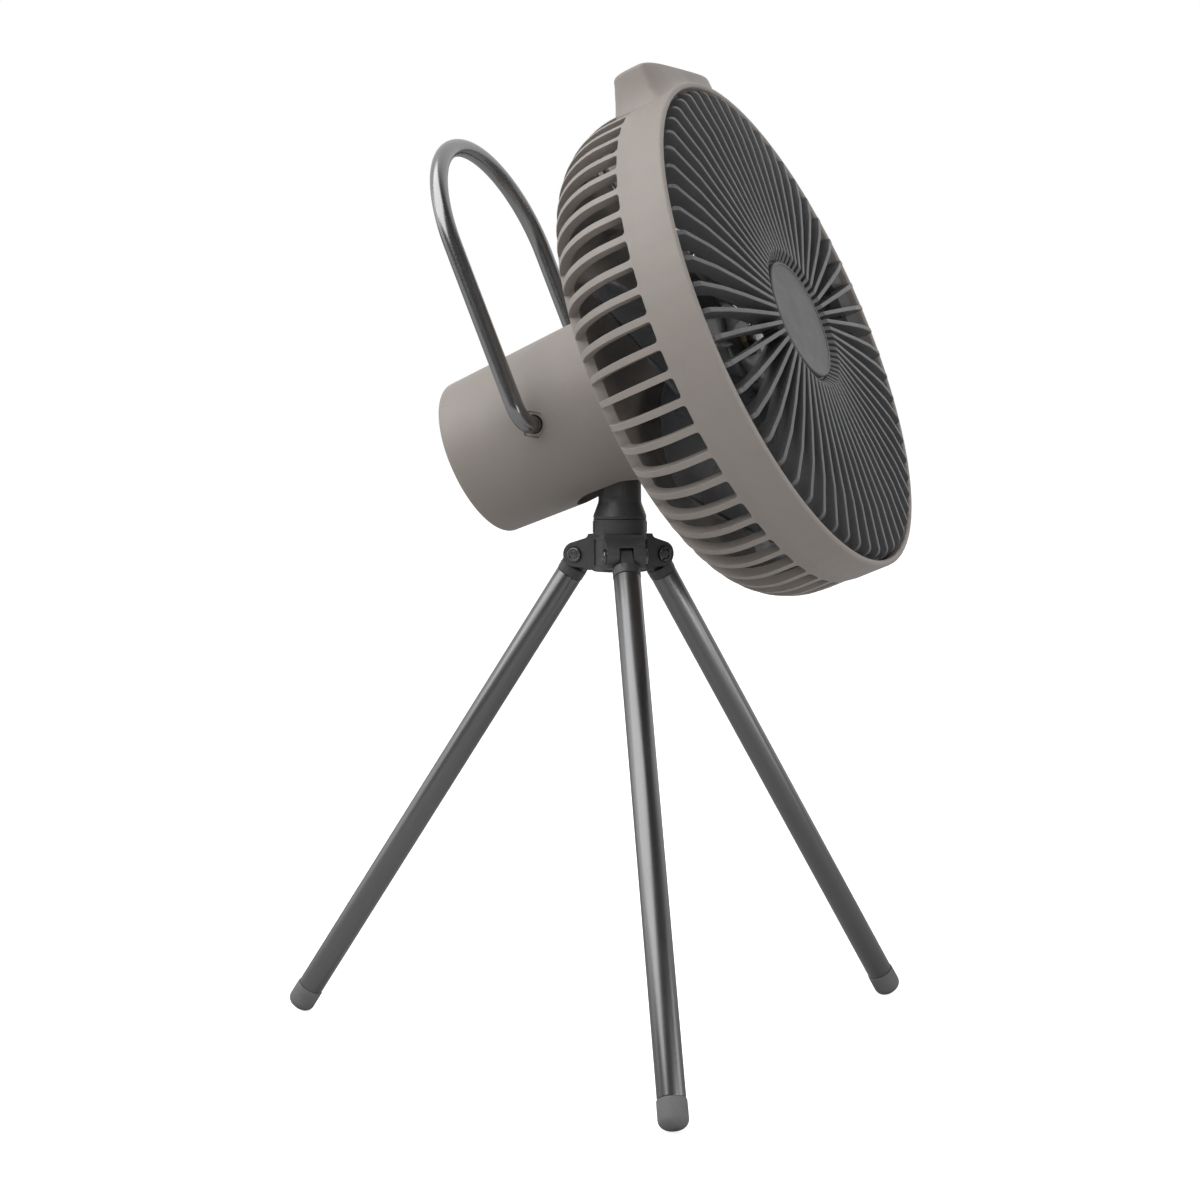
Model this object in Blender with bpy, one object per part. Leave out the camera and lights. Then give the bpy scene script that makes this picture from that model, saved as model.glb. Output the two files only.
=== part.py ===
"""Battery table fan on a folding three-leg stand.

Lengths in the constants are millimetres; meshes are written in metres, +Z up.
The fan faces -Y and is tipped up by TILT.  Fan coordinates are x across,
s along the fan axis (front positive) and v up in the plane of the disc,
measured from the point where the fan axis crosses the stand's axis.
"""
import bpy
import bmesh
from math import sin, cos, asin, sqrt, radians, pi
from mathutils import Matrix, Vector

for old in list(bpy.data.objects):
    bpy.data.objects.remove(old, do_unlink=True)

MM = 0.001

# whole object
TILT = 22.5          # upward tilt of the head at rest, degrees
STAND_Y = -16.98     # stand axis, so that the footprint is centred on the origin
AXIS_Z = 217.15      # height where the fan axis crosses the stand axis
PIVOT_DROP = 12.0    # tilt axle below that crossing, measured vertically

# basket and ring
RING_R = 85.0
RING_WALL = 2.2
RING_FRONT = 65.8
RING_REAR = 49.5
DRAFT = 0.5          # the rear strip of the ring leans in by this much
SHOULDER_R = 19.0    # the rounded shoulder is a quarter ellipse: radial half axis
SHOULDER_S = 24.0    # and half axis along the fan
BACK_S = 18.5        # rear face of the basket
SLAT_N = 58
SLAT_W = 2.4
SLAT_W_IN = 1.5
SLAT_DEEP = 5.0
PLATE_R = 65.0
PLATE_RIM_R = 51.0       # the plate is thicker outside this radius
PLATE_RIM_T = 3.1
PLATE_T = 2.5
PLATE_HOLE = 8.0
SLAT_PHASE = 4.65    # degrees from straight up towards -x

# raised pad on the ring
PAD_TOP = 92.0
PAD_HALF = 28.6
PAD_MID_S = 56.0

# front grille
RIB_N = 58
RIB_W = 1.6
RIB_PHASE = 1.55
HUB_R = 20.7
GRILLE_RING_OUT = 82.3
GRILLE_RING_IN = 79.2

# barrel behind the basket
BARREL_REAR = -55.0
BARREL_R_REAR = 27.1
BARREL_R_FRONT = 29.0
BARREL_FILLET = 1.8
BARREL_LIFT = 0.9        # the barrel's outside sits this much above its bore
BARREL_BORE = 24.7
PANEL_R = 19.0

# carrying handle
HANDLE_S = -21.0
HANDLE_HALF = 37.4
HANDLE_LEG = 63.2
ROD_R = 3.0

# stand
HINGE_R = 13.8
HINGE_Z = 165.3
SPLAY = 33.94
LEG_AZIMUTHS = (-150.7, -30.7, 89.3)
TUBE_R = 4.5
FOOT_R = 4.8
FOOT_FILLET = 3.0
HUB_BOTTOM = 159.7
HUB_TOP = 177.3
NECK_R = 7.1
COLLAR_R = 8.9
LEG_L = FOOT_FILLET + (HINGE_Z - FOOT_FILLET
                       - (FOOT_R - FOOT_FILLET) * sin(radians(SPLAY))) / cos(radians(SPLAY))

GAP = 0.3            # running clearance between neighbours

STAND = Matrix.Translation((0, STAND_Y * MM, 0))
FAN = Matrix.Translation((0, STAND_Y * MM, AXIS_Z * MM)) @ Matrix.Rotation(-radians(TILT), 4, "X")
PIVOT = (0.0, PIVOT_DROP * sin(radians(TILT)), -PIVOT_DROP * cos(radians(TILT)))


def material(name, colour, rough, metal=0.0):
    m = bpy.data.materials.new(name)
    m.use_nodes = True
    b = m.node_tree.nodes["Principled BSDF"]
    b.inputs["Base Color"].default_value = (*colour, 1.0)
    b.inputs["Roughness"].default_value = rough
    b.inputs["Metallic"].default_value = metal
    return m


TAUPE = (0.29, 0.25, 0.22)
CHARCOAL = (0.045, 0.045, 0.047)
STEEL = (0.55, 0.55, 0.56)
ALU = (0.16, 0.16, 0.165)


def fan(x, s, v):
    """Fan coordinates to the local axes of the FAN frame."""
    return (x, -s, v)


def on_z(r, h, a):
    return (r * cos(a), r * sin(a), h)


def on_fan(r, s, a):
    """Point at radius r and station s; a runs from straight up towards -x."""
    return (-r * sin(a), -s, r * cos(a))


def on_x(r, h, a):
    return (h, r * cos(a), r * sin(a))


def revolve(profile, n, at, phase=0.0):
    """Closed solid of revolution; profile is a list of (radius, station).

    A profile that starts and ends on the axis is capped there, any other
    profile is taken as a closed loop.
    """
    verts, rings = [], []
    for r, h in profile:
        if r < 1e-6:
            rings.append([len(verts)] * n)
            verts.append(at(0.0, h, 0.0))
        else:
            rings.append([len(verts) + k for k in range(n)])
            verts += [at(r, h, phase + 2 * pi * k / n) for k in range(n)]
    faces = []
    loop = profile[0][0] > 1e-6
    pairs = list(zip(rings, rings[1:])) + ([(rings[-1], rings[0])] if loop else [])
    for a, b in pairs:
        for k in range(n):
            q = [a[k], a[(k + 1) % n], b[(k + 1) % n], b[k]]
            f = [v for i, v in enumerate(q) if v not in q[:i]]
            if len(f) > 2:
                faces.append(f)
    return verts, faces


def disc(r, h0, h1, n, at, hole=0.0, phase=0.0):
    if hole:
        return revolve([(hole, h0), (r, h0), (r, h1), (hole, h1)], n, at, phase)
    return revolve([(0, h0), (r, h0), (r, h1), (0, h1)], n, at, phase)


def extrude(outline, a, b, at):
    """Prism over a 2-D outline; at(p, q, depth) gives the 3-D point."""
    n = len(outline)
    verts = [at(p, q, a) for p, q in outline] + [at(p, q, b) for p, q in outline]
    faces = [list(range(n)), list(range(2 * n - 1, n - 1, -1))]
    faces += [[k, (k + 1) % n, n + (k + 1) % n, n + k] for k in range(n)]
    return verts, faces


def box(x0, x1, y0, y1, z0, z1):
    return extrude([(x0, y0), (x1, y0), (x1, y1), (x0, y1)], z0, z1, lambda p, q, d: (p, q, d))


def stadium(cx, cy, half, r, n=8):
    """Outline with round ends, long side along the first axis."""
    pts = []
    for k in range(n + 1):
        a = -pi / 2 + pi * k / n
        pts.append((cx + half + r * cos(a), cy + r * sin(a)))
    for k in range(n + 1):
        a = pi / 2 + pi * k / n
        pts.append((cx - half + r * cos(a), cy + r * sin(a)))
    return pts


def sweep(path, r, n):
    """Round bar along a path lying in a plane through the x axis."""
    verts, faces = [], []
    pts = [Vector(p) for p in path]
    flat = Vector((0, 1, 0))
    for i, p in enumerate(pts):
        d = (pts[min(i + 1, len(pts) - 1)] - pts[max(i - 1, 0)]).normalized()
        side = d.cross(flat).normalized()
        for k in range(n):
            a = 2 * pi * k / n
            verts.append(tuple(p + r * (cos(a) * flat + sin(a) * side)))
    for i in range(len(pts) - 1):
        for k in range(n):
            k2 = (k + 1) % n
            faces.append([i * n + k, i * n + k2, (i + 1) * n + k2, (i + 1) * n + k])
    faces.append(list(range(n)))
    faces.append(list(range(len(verts) - 1, len(verts) - n - 1, -1)))
    return verts, faces


def merge(*shapes):
    verts, faces = [], []
    for v, f in shapes:
        faces += [[i + len(verts) for i in face] for face in f]
        verts += list(v)
    return verts, faces


def solid(name, shape, mat, frame=STAND, origin=(0, 0, 0)):
    """Named object; origin is a point in the frame's own axes, millimetres."""
    verts, faces = shape
    o = Vector(origin)
    bm = bmesh.new()
    vs = [bm.verts.new((Vector(v) - o) * MM) for v in verts]
    for f in faces:
        bm.faces.new([vs[i] for i in f])
    bmesh.ops.recalc_face_normals(bm, faces=bm.faces)
    me = bpy.data.meshes.new(name)
    bm.to_mesh(me)
    bm.free()
    ob = bpy.data.objects.new(name, me)
    bpy.context.scene.collection.objects.link(ob)
    ob.matrix_world = frame @ Matrix.Translation(o * MM)
    if mat:
        me.materials.append(mat)
    return ob


def apply_tool(ob, shape, frame, operation="DIFFERENCE"):
    """Boolean with a hidden tool body."""
    tool = solid(ob.name + "_tool_" + str(len(ob.modifiers)), shape, None, frame)
    tool.hide_render = True
    tool.display_type = "WIRE"
    m = ob.modifiers.new("shape_" + str(len(ob.modifiers)), "BOOLEAN")
    m.object = tool
    m.operation = operation
    m.solver = "EXACT"


def slatted(n, phase, rim, outer, inner, plate, width_at, rim_r, plate_r, rim_seat):
    """Rim and centre plate joined by n bars.

    rim and plate are closed loops of (radius, station).  outer and inner are
    the two edges of a bar, from the rim to the plate; outer[0] is the first
    point of the rim and outer[-1] the first point of the plate, inner[-1] is
    the last point of the plate.  rim_seat holds the two last points of the
    rim, between which the inner edge of the bar starts.
    """
    verts, index = [], {}

    def face(*ids):
        ids = [v for i, v in enumerate(ids) if v not in ids[:i]]
        if len(ids) > 2:
            faces.append(ids)

    def half_angle(p):
        r = max(min(p[0], rim_r), plate_r)
        return asin(width_at(r) / 2 / r)

    def vid(p, j, side):
        key = (p, j % n, side) if p[0] > 1e-6 else (p, 0, 0)
        if key not in index:
            a = radians(phase) + 2 * pi * (j % n) / n + side * half_angle(p)
            index[key] = len(verts)
            verts.append(on_fan(p[0], p[1], a))
        return index[key]

    faces = []
    for j in range(n):
        # between bars: rim and plate only
        for loop in (rim, plate):
            for p, q in zip(loop, loop[1:] + loop[:1]):
                face(vid(p, j, 1), vid(q, j, 1), vid(q, j + 1, -1), vid(p, j + 1, -1))
        # across a bar: one outline round rim, bar and plate
        bar = list(reversed(outer)) + rim[1:-1] + inner + list(reversed(plate[1:-1]))
        for p, q in zip(bar, bar[1:] + bar[:1]):
            face(vid(p, j, -1), vid(q, j, -1), vid(q, j, 1), vid(p, j, 1))
        for side in (-1, 1):
            seat_a, seat_b = rim_seat
            faces.append([vid(seat_b, j, side), vid(outer[0], j, side), vid(outer[1], j, side)])
            faces.append([vid(seat_b, j, side), vid(outer[1], j, side), vid(inner[1], j, side)])
            faces.append([vid(seat_b, j, side), vid(inner[1], j, side), vid(inner[0], j, side)])
            faces.append([vid(seat_b, j, side), vid(inner[0], j, side), vid(seat_a, j, side)])
            for i in range(1, len(outer) - 1):
                faces.append([vid(outer[i], j, side), vid(outer[i + 1], j, side),
                              vid(inner[i + 1], j, side), vid(inner[i], j, side)])
    return verts, faces


taupe = material("taupe_plastic", TAUPE, 0.55)
dark = material("charcoal_plastic", CHARCOAL, 0.5)

# ---- basket: ring, slats and back plate in one piece -------------------------
r_in = RING_R - RING_WALL
rim = [(RING_R - DRAFT, RING_REAR), (RING_R, RING_REAR + 4.2), (RING_R, RING_FRONT - 1.0),
       (RING_R - 0.9, RING_FRONT),
       (r_in, RING_FRONT - 0.6), (r_in, RING_REAR + 2.0), (r_in, RING_REAR)]
arc_r = RING_R - DRAFT - SHOULDER_R
arc_s = BACK_S + SHOULDER_S
outer = [(RING_R - DRAFT, RING_REAR), (RING_R - DRAFT, arc_s)]
inner = [(RING_R - SLAT_DEEP, RING_REAR), (RING_R - SLAT_DEEP, arc_s)]
ARC_STEPS = 3
for k in range(1, ARC_STEPS + 1):
    a = pi / 2 * k / ARC_STEPS
    outer.append((arc_r + SHOULDER_R * cos(a), arc_s - SHOULDER_S * sin(a)))
    inner.append((arc_r + (SHOULDER_R + DRAFT - SLAT_DEEP) * cos(a),
                  arc_s - (SHOULDER_S - SLAT_DEEP) * sin(a)))
outer.append((PLATE_R, BACK_S))
inner.append((PLATE_R, BACK_S + PLATE_RIM_T))
plate = [(PLATE_R, BACK_S), (PLATE_HOLE, BACK_S), (PLATE_HOLE, BACK_S + PLATE_T),
         (PLATE_RIM_R, BACK_S + PLATE_T), (PLATE_RIM_R + 0.8, BACK_S + PLATE_RIM_T),
         (PLATE_R, BACK_S + PLATE_RIM_T)]


def slat_width(r):
    t = (r - PLATE_R) / (RING_R - PLATE_R)
    return SLAT_W_IN + (SLAT_W - SLAT_W_IN) * t


basket = solid("rear_basket",
               slatted(SLAT_N, SLAT_PHASE, rim, outer, inner, plate, slat_width,
                       RING_R, PLATE_R, (rim[-2], rim[-1])),
               taupe, FAN, PIVOT)


def pad_shape(steps=12):
    """Raised pad: stacked outlines that start inside the ring wall."""
    # grow, front reach, rear reach, rule for the height
    levels = [(3.0, 8.0, 13.4, 0.0, 0.0), (2.8, 7.8, 13.2, 0.9, 0.0), (1.2, 6.6, 12.5, 2.0, 0.0),
              (0.3, 6.0, 12.0, 3.8, 0.0), (-0.3, 5.6, 11.2, 0.0, PAD_TOP - 0.9),
              (-1.3, 4.8, 10.2, 0.0, PAD_TOP)]
    verts, faces = [], []
    loops = []
    for grow, front, rear, lift, flat in levels:
        w = PAD_HALF + grow
        loop = []
        chain = []
        for k in range(steps + 1):
            x = -w * cos(pi * k / steps)
            u = abs(x) / w
            f = front * max(0.0, 1 - u ** 5) ** (1 / 5)
            b = rear * max(0.0, 1 - u ** 3) ** (1 / 3)
            v = flat if flat else sqrt((RING_R - 0.8) ** 2 - x * x) + lift
            chain.append((x, f, b, v))
        for x, f, b, v in chain:
            loop.append(len(verts))
            verts.append(fan(x, PAD_MID_S + f, v))
        for x, f, b, v in reversed(chain[1:-1]):
            loop.append(len(verts))
            verts.append(fan(x, PAD_MID_S - b, v))
        loops.append(loop)
    m = 2 * steps
    for a, b in zip(loops, loops[1:]):
        for k in range(m):
            faces.append([a[k], a[(k + 1) % m], b[(k + 1) % m], b[k]])
    faces.append(loops[-1][::-1])
    low = loops[0]
    for k in range(steps):
        q = [low[k], low[k + 1], low[(m - k - 1) % m], low[(m - k) % m]]
        faces.append([v for i, v in enumerate(q) if v not in q[:i]])
    return verts, faces


apply_tool(basket, pad_shape(), FAN, "UNION")

# barrel screws: three, just outside the bore
SCREW_AT = [radians(a) for a in (0.0, 120.0, 240.0)]
SCREW_R = 27.9
for a in SCREW_AT:
    c = on_fan(SCREW_R, 0, a)
    hole = [(c[0] + x, -s, c[2] + z) for x, s, z in
            [(1.55 * cos(2 * pi * k / 8), s, 1.55 * sin(2 * pi * k / 8))
             for s in (9.0, 24.0) for k in range(8)]]
    sides = [[k, (k + 1) % 8, 8 + (k + 1) % 8, 8 + k] for k in range(8)]
    tool = (hole, sides + [list(range(8)), list(range(15, 7, -1))])
    apply_tool(basket, tool, FAN)

# ---- front grille ------------------------------------------------------------
g_rim = [(81.8, 61.2), (GRILLE_RING_OUT, 57.0), (GRILLE_RING_IN, 57.0), (GRILLE_RING_IN, 60.6)]
g_outer = [(81.8, 61.2), (80.4, 65.2), (77.4, 67.2), (51.0, 69.5), (23.6, 69.7), (HUB_R, 67.7)]
g_inner = [(GRILLE_RING_IN - 1.8, 57.0), (76.0, 61.2), (74.6, 62.0), (51.0, 63.8), (24.5, 64.4),
           (HUB_R, 65.7)]
g_plate = [(HUB_R, 67.7), (0.0, 67.7), (0.0, 65.7), (HUB_R, 65.7)]
grille = solid("front_grille",
               slatted(RIB_N, RIB_PHASE, g_rim, g_outer, g_inner, g_plate,
                       lambda r: RIB_W - 0.25 * (GRILLE_RING_OUT - r) / 60,
                       GRILLE_RING_OUT, HUB_R, (g_rim[-2], g_rim[-1])),
               material("grille_plastic", (0.075, 0.075, 0.078), 0.5), FAN, PIVOT)
solid("grille_cap", revolve([(0, 68.0), (HUB_R - 0.6, 68.0), (HUB_R - 0.6, 68.7), (HUB_R - 1.0, 69.0),
                             (0, 69.0)], 36, on_fan),
      material("cap_plastic", (0.13, 0.13, 0.133), 0.45), FAN, PIVOT)

# ---- impeller and motor ------------------------------------------------------
BLADES = 7
HUB_CUP_R = 15.5


def blade(j, radial=5, across=3):
    """One twisted, swept blade, root buried in the wall of the cup."""
    verts, faces = [], []
    top, bottom = [], []
    for i in range(radial + 1):
        t = i / radial
        r = 14.6 + (76.0 - 14.6) * t
        turn = 2 * pi * j / BLADES + radians(24) * t ** 1.3
        span = radians(25 - 1.5 * t) * (1.0 if i < radial else 0.84)
        a_row, b_row = [], []
        for k in range(across + 1):
            u = -1 + 2 * k / across
            a = turn + span * u
            s = 38.0 + 2.0 * t + (10.5 - 1.5 * t) * u + 2.0 * (1 - u * u)
            thick = 0.95 - 0.5 * abs(u)
            a_row.append(len(verts))
            verts.append(on_fan(r, s + thick, a))
            b_row.append(len(verts))
            verts.append(on_fan(r, s - thick, a))
        top.append(a_row)
        bottom.append(b_row)
    for i in range(radial):
        for k in range(across):
            faces.append([top[i][k], top[i][k + 1], top[i + 1][k + 1], top[i + 1][k]])
            faces.append([bottom[i][k], bottom[i + 1][k], bottom[i + 1][k + 1], bottom[i][k + 1]])
        for k in (0, across):
            faces.append([top[i][k], top[i + 1][k], bottom[i + 1][k], bottom[i][k]])
    for i in (0, radial):
        for k in range(across):
            faces.append([top[i][k], top[i][k + 1], bottom[i][k + 1], bottom[i][k]])
    return verts, faces


cup = revolve([(1.8, 48.0), (13.0, 48.0), (HUB_CUP_R, 46.2), (HUB_CUP_R, 26.0), (13.8, 26.0),
               (13.8, 45.6), (1.8, 45.6)], 30, on_fan)
impeller = solid("fan_blade", cup, material("blade_plastic", (0.10, 0.10, 0.103), 0.4), FAN,
                 fan(0, 38, 0))
for j in range(BLADES):
    apply_tool(impeller, blade(j), FAN, "UNION")
steel = material("turned_steel", STEEL, 0.3, 1.0)
solid("blade_nut", revolve([(1.8, 48.3), (4.5, 48.3), (4.5, 50.2), (3.2, 51.6), (1.8, 51.6)], 12, on_fan),
      material("nut_brass", (0.55, 0.42, 0.2), 0.35, 1.0), FAN, fan(0, 38, 0))
solid("motor_shaft", revolve([(0, 22.2), (1.2, 22.2), (1.5, 22.6), (1.5, 52.0), (1.2, 52.4), (0, 52.4)],
                             12, on_fan), steel, FAN, fan(0, 38, 0))
solid("motor_rotor", revolve([(1.8, 42.6), (12.4, 42.6), (13.4, 41.6), (13.4, 25.2), (12.0, 25.2),
                              (12.0, 41.0), (1.8, 41.0)], 24, on_fan),
      material("rotor_can", (0.35, 0.35, 0.36), 0.35, 1.0), FAN, fan(0, 38, 0))


def stator_outline(teeth=9):
    pts = []
    for j in range(teeth):
        c = 2 * pi * j / teeth
        for r, d in ((7.0, -15.5), (10.4, -6.0), (10.4, -15.0), (11.6, -15.0), (11.6, 0.0), (11.6, 15.0),
                     (10.4, 15.0), (10.4, 6.0), (7.0, 15.5)):
            a = c + radians(d)
            pts.append((r * sin(a), r * cos(a)))
    return pts


stator = solid("motor_stator", extrude(stator_outline(), 27.0, 38.0, lambda p, q, d: fan(p, d, q)),
               material("stator_copper", (0.45, 0.2, 0.09), 0.4, 0.8), FAN, PIVOT)
apply_tool(stator, disc(5.2, 20.0, 45.0, 16, on_fan), FAN)
base = solid("motor_base", revolve([(3.7, 21.3), (12.5, 21.3), (12.5, 23.3), (4.9, 23.3), (4.9, 39.5),
                                    (3.7, 39.5)], 20, on_fan),
             material("base_alloy", (0.4, 0.4, 0.41), 0.45, 1.0), FAN, PIVOT)
for name, s in (("bearing_rear", 23.0), ("bearing_front", 36.0)):
    solid(name, revolve([(1.8, s), (3.4, s), (3.4, s + 3.0), (1.8, s + 3.0)], 16, on_fan), steel, FAN, PIVOT)

# ---- barrel ------------------------------------------------------------------
f_c = BARREL_REAR + BARREL_FILLET



def on_barrel(r, s, a):
    """Fan coordinates with the outer skin lifted off the bore's axis."""
    p = on_fan(r, s, a)
    return (p[0], p[1], p[2] + (BARREL_LIFT if r > BARREL_BORE + 0.4 else 0.0))


barrel_profile = [(33.8, 18.2), (31.6, 14.6), (30.2, 9.5), (BARREL_R_FRONT, 0.0), (BARREL_R_REAR, f_c)]
for k in range(1, 4):
    a = pi / 2 * k / 3
    barrel_profile.append((BARREL_R_REAR - BARREL_FILLET + BARREL_FILLET * cos(a),
                           f_c - BARREL_FILLET * sin(a)))
barrel_profile += [(PANEL_R + GAP, BARREL_REAR), (PANEL_R + GAP, BARREL_REAR + 2.3),
                   (BARREL_BORE, -47.0), (BARREL_BORE, 16.3), (9.0, 16.3), (9.0, 18.2)]
barrel = solid("rear_barrel", revolve(barrel_profile, 40, on_barrel), taupe, FAN, PIVOT)
SLOT_HALF = NECK_R + 1.9
SLOT_REAR = -27.0
SLOT_FRONT = -1.9
SLOT_END = 6.6           # depth of the slot's flatter front end


def neck_slot(steps=8):
    """Outline (s, x) of the opening the neck swings in."""
    rear = SLOT_REAR + SLOT_HALF
    front = SLOT_FRONT - SLOT_END
    line = []
    for k in range(steps + 1):
        a = pi / 2 + pi * k / steps
        line.append((rear + SLOT_HALF * cos(a), SLOT_HALF * sin(a)))
    for k in range(steps + 1):
        a = -pi / 2 + pi * k / steps
        line.append((front + SLOT_END * cos(a), SLOT_HALF * sin(a)))
    return line


apply_tool(barrel, extrude(neck_slot(), -36.0, -17.0, lambda p, q, d: fan(q, p, d)), FAN)


def hexagon(r):
    return [(r * cos(pi / 3 * k), r * sin(pi / 3 * k)) for k in range(6)]


BUSH_R = 4.6
for side in (-1, 1):
    apply_tool(barrel, extrude(hexagon(BUSH_R + GAP), side * 20.0, side * 34.0,
                               lambda p, q, d: fan(d, HANDLE_S + q, p)), FAN)
for a in SCREW_AT:
    c = on_fan(SCREW_R, 0, a)
    apply_tool(barrel, extrude([(c[0] + 1.55 * cos(2 * pi * k / 8), c[2] + 1.55 * sin(2 * pi * k / 8))
                                for k in range(8)], 12.0, 20.0, lambda p, q, d: fan(p, d, q)), FAN)
screw_steel = material("screw_steel", (0.3, 0.3, 0.31), 0.35, 1.0)
for j, a in enumerate(SCREW_AT):
    c = on_fan(SCREW_R, 0, a)

    def around(r, h, t, c=c):
        return (c[0] + r * cos(t), -h, c[2] + r * sin(t))
    solid("barrel_screw_" + str(j + 1),
          revolve([(0, 12.6), (1.2, 12.6), (1.2, 21.3), (2.5, 21.3), (2.5, 22.6), (1.6, 23.2), (0, 23.2)],
                  12, around), screw_steel, FAN, PIVOT)

# ---- rear panel, button, lens, charging port ----------------------------------
P0, P1 = -54.6, -52.8
PORT_V = -11.0
LENS_V = 10.5
panel = solid("rear_panel", revolve([(5.8, P0), (PANEL_R - 0.5, P0), (PANEL_R, P0 + 0.5), (PANEL_R, P1),
                                     (5.8, P1)], 36, on_fan),
              material("panel_plastic", (0.05, 0.05, 0.052), 0.4), FAN, PIVOT)
apply_tool(panel, extrude(stadium(0, LENS_V, 5.2, 1.5), P0 - 2, P1 + 2,
                          lambda p, q, d: fan(p, d, q)), FAN)
apply_tool(panel, extrude(stadium(0, PORT_V, 3.0, 1.9), P0 - 2, P1 + 2,
                          lambda p, q, d: fan(p, d, q)), FAN)
solid("power_button", revolve([(0, -55.2), (4.9, -55.2), (5.5, -54.7), (5.5, -52.5), (6.7, -52.5),
                               (6.7, -51.9), (0, -51.9)], 20, on_fan),
      material("button_plastic", TAUPE, 0.5), FAN, fan(0, -54, 0))
solid("level_lens", extrude(stadium(0, LENS_V, 5.2, 1.2), P0 + 0.1, P1, lambda p, q, d: fan(p, d, q)),
      material("lens_clear", (0.6, 0.62, 0.6), 0.2), FAN, PIVOT)
port = solid("charge_port", extrude(stadium(0, PORT_V, 3.0, 1.6), P0 + 0.2, -51.2,
                                    lambda p, q, d: fan(p, d, q)), steel, FAN, PIVOT)
apply_tool(port, extrude(stadium(0, PORT_V, 2.9, 1.2), P0 - 1, -51.9, lambda p, q, d: fan(p, d, q)), FAN)

# ---- electronics -------------------------------------------------------------
solid("control_board", disc(18.6, -50.9, -49.7, 28, on_fan),
      material("board_green", (0.02, 0.12, 0.05), 0.4), FAN, PIVOT)
CELL_R, CELL_X, CELL_V = 9.15, 9.5, 9.3
cell_wrap = material("cell_wrap", (0.03, 0.12, 0.3), 0.35)
for name, side in (("battery_cell_a", -1), ("battery_cell_b", 1)):
    def along(r, h, t, side=side):
        return (side * CELL_X + r * cos(t), -h, CELL_V + r * sin(t))
    solid(name, revolve([(0, -49.3), (CELL_R, -49.3), (CELL_R, 14.9), (3.0, 14.9), (3.0, 15.9),
                         (0, 15.9)], 20, along),
          cell_wrap, FAN, PIVOT)
solid("battery_tray", extrude([(-23.6, -2.2), (23.6, -2.2), (23.6, -0.7), (-23.6, -0.7)], -44.0, 14.0,
                              lambda p, q, d: fan(p, d, q)),
      material("tray_plastic", (0.25, 0.25, 0.25), 0.6), FAN, PIVOT)

# ---- tilt joint --------------------------------------------------------------
PV = -PIVOT_DROP * cos(radians(TILT))
PS = -PIVOT_DROP * sin(radians(TILT))


def on_axle(r, h, a):
    return (h, -PS + r * cos(a), PV + r * sin(a))


bracket = solid("tilt_bracket", merge(extrude([(-11.0, -4.1), (11.0, -4.1), (11.0, -2.6), (-11.0, -2.6)],
                                              PS - 8.0, PS + 8.0, lambda p, q, d: fan(p, d, q))),
                material("bracket_steel", (0.3, 0.3, 0.31), 0.4, 1.0), FAN, PIVOT)
for side in (-1, 1):
    ear = [(PS - 6.0, -3.4), (PS + 6.0, -3.4), (PS + 6.0, PV), (PS + 4.2, PV - 4.2), (PS, PV - 6.0),
           (PS - 4.2, PV - 4.2), (PS - 6.0, PV)]
    apply_tool(bracket, extrude(ear, side * 8.3, side * 10.8, lambda p, q, d: fan(d, p, q)), FAN, "UNION")
apply_tool(bracket, disc(2.3, -15.0, 15.0, 14, on_axle), FAN)
solid("tilt_axle", revolve([(0, -11.4), (2.0, -11.4), (2.0, 11.1), (3.8, 11.1), (3.8, 12.6), (0, 12.6)],
                           12, on_axle), steel, FAN, PIVOT)
solid("tilt_nut", revolve([(2.3, -13.3), (3.8, -13.3), (3.8, -11.1), (2.3, -11.1)], 6, on_axle), steel,
      FAN, PIVOT)
washer = material("washer_nylon", (0.7, 0.7, 0.68), 0.5)
for name, x in (("friction_washer_l", -8.0), ("friction_washer_r", 6.3)):
    solid(name, revolve([(2.3, x), (5.4, x), (5.4, x + 1.7), (2.3, x + 1.7)], 16, on_axle), washer, FAN, PIVOT)

# ---- carrying handle -----------------------------------------------------------
BEND = 7.0
path = [(-25.2, 0.0)]
for k in range(0, 5):
    a = pi / 2 * k / 4
    path.append((-HANDLE_HALF + BEND - BEND * sin(a), BEND - BEND * cos(a)))
path.append((-HANDLE_HALF, HANDLE_LEG))
for k in range(1, 12):
    a = pi * k / 12
    path.append((-HANDLE_HALF * cos(a), HANDLE_LEG + HANDLE_HALF * sin(a)))
path += [(-x, v) for x, v in reversed(path[:6 + 1])]
handle_path = [fan(x, HANDLE_S, v) for x, v in path]
solid("carry_handle", sweep(handle_path, ROD_R, 12), material("handle_steel", STEEL, 0.22, 1.0), FAN,
      fan(0, HANDLE_S, 0))
for name, side in (("handle_bush_l", -1), ("handle_bush_r", 1)):
    bush = solid(name, extrude(hexagon(BUSH_R), side * 24.9, side * 28.3,
                               lambda p, q, d: fan(d, HANDLE_S + q, p)), dark, FAN, PIVOT)
    apply_tool(bush, revolve([(0, side * 20.0), (ROD_R + GAP, side * 20.0), (ROD_R + GAP, side * 32.0),
                              (0, side * 32.0)], 16,
                             lambda r, h, a: fan(h, HANDLE_S + r * cos(a), r * sin(a))), FAN)

# ---- neck ----------------------------------------------------------------------
PIVOT_Z = AXIS_Z - PIVOT_DROP
neck = solid("neck_post", revolve([(2.8, HUB_TOP + GAP), (COLLAR_R, HUB_TOP + GAP), (COLLAR_R, HUB_TOP + 0.9),
                                   (NECK_R, 182.7), (NECK_R, 191.4), (6.2, 192.6), (2.8, 192.6)], 28, on_z),
             dark, STAND)
apply_tool(neck, box(-5.9, 5.9, -4.6, 4.6, 190.4, PIVOT_Z), STAND, "UNION")


def on_knuckle(r, h, a):
    return (h, r * cos(a), PIVOT_Z + r * sin(a))


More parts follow.
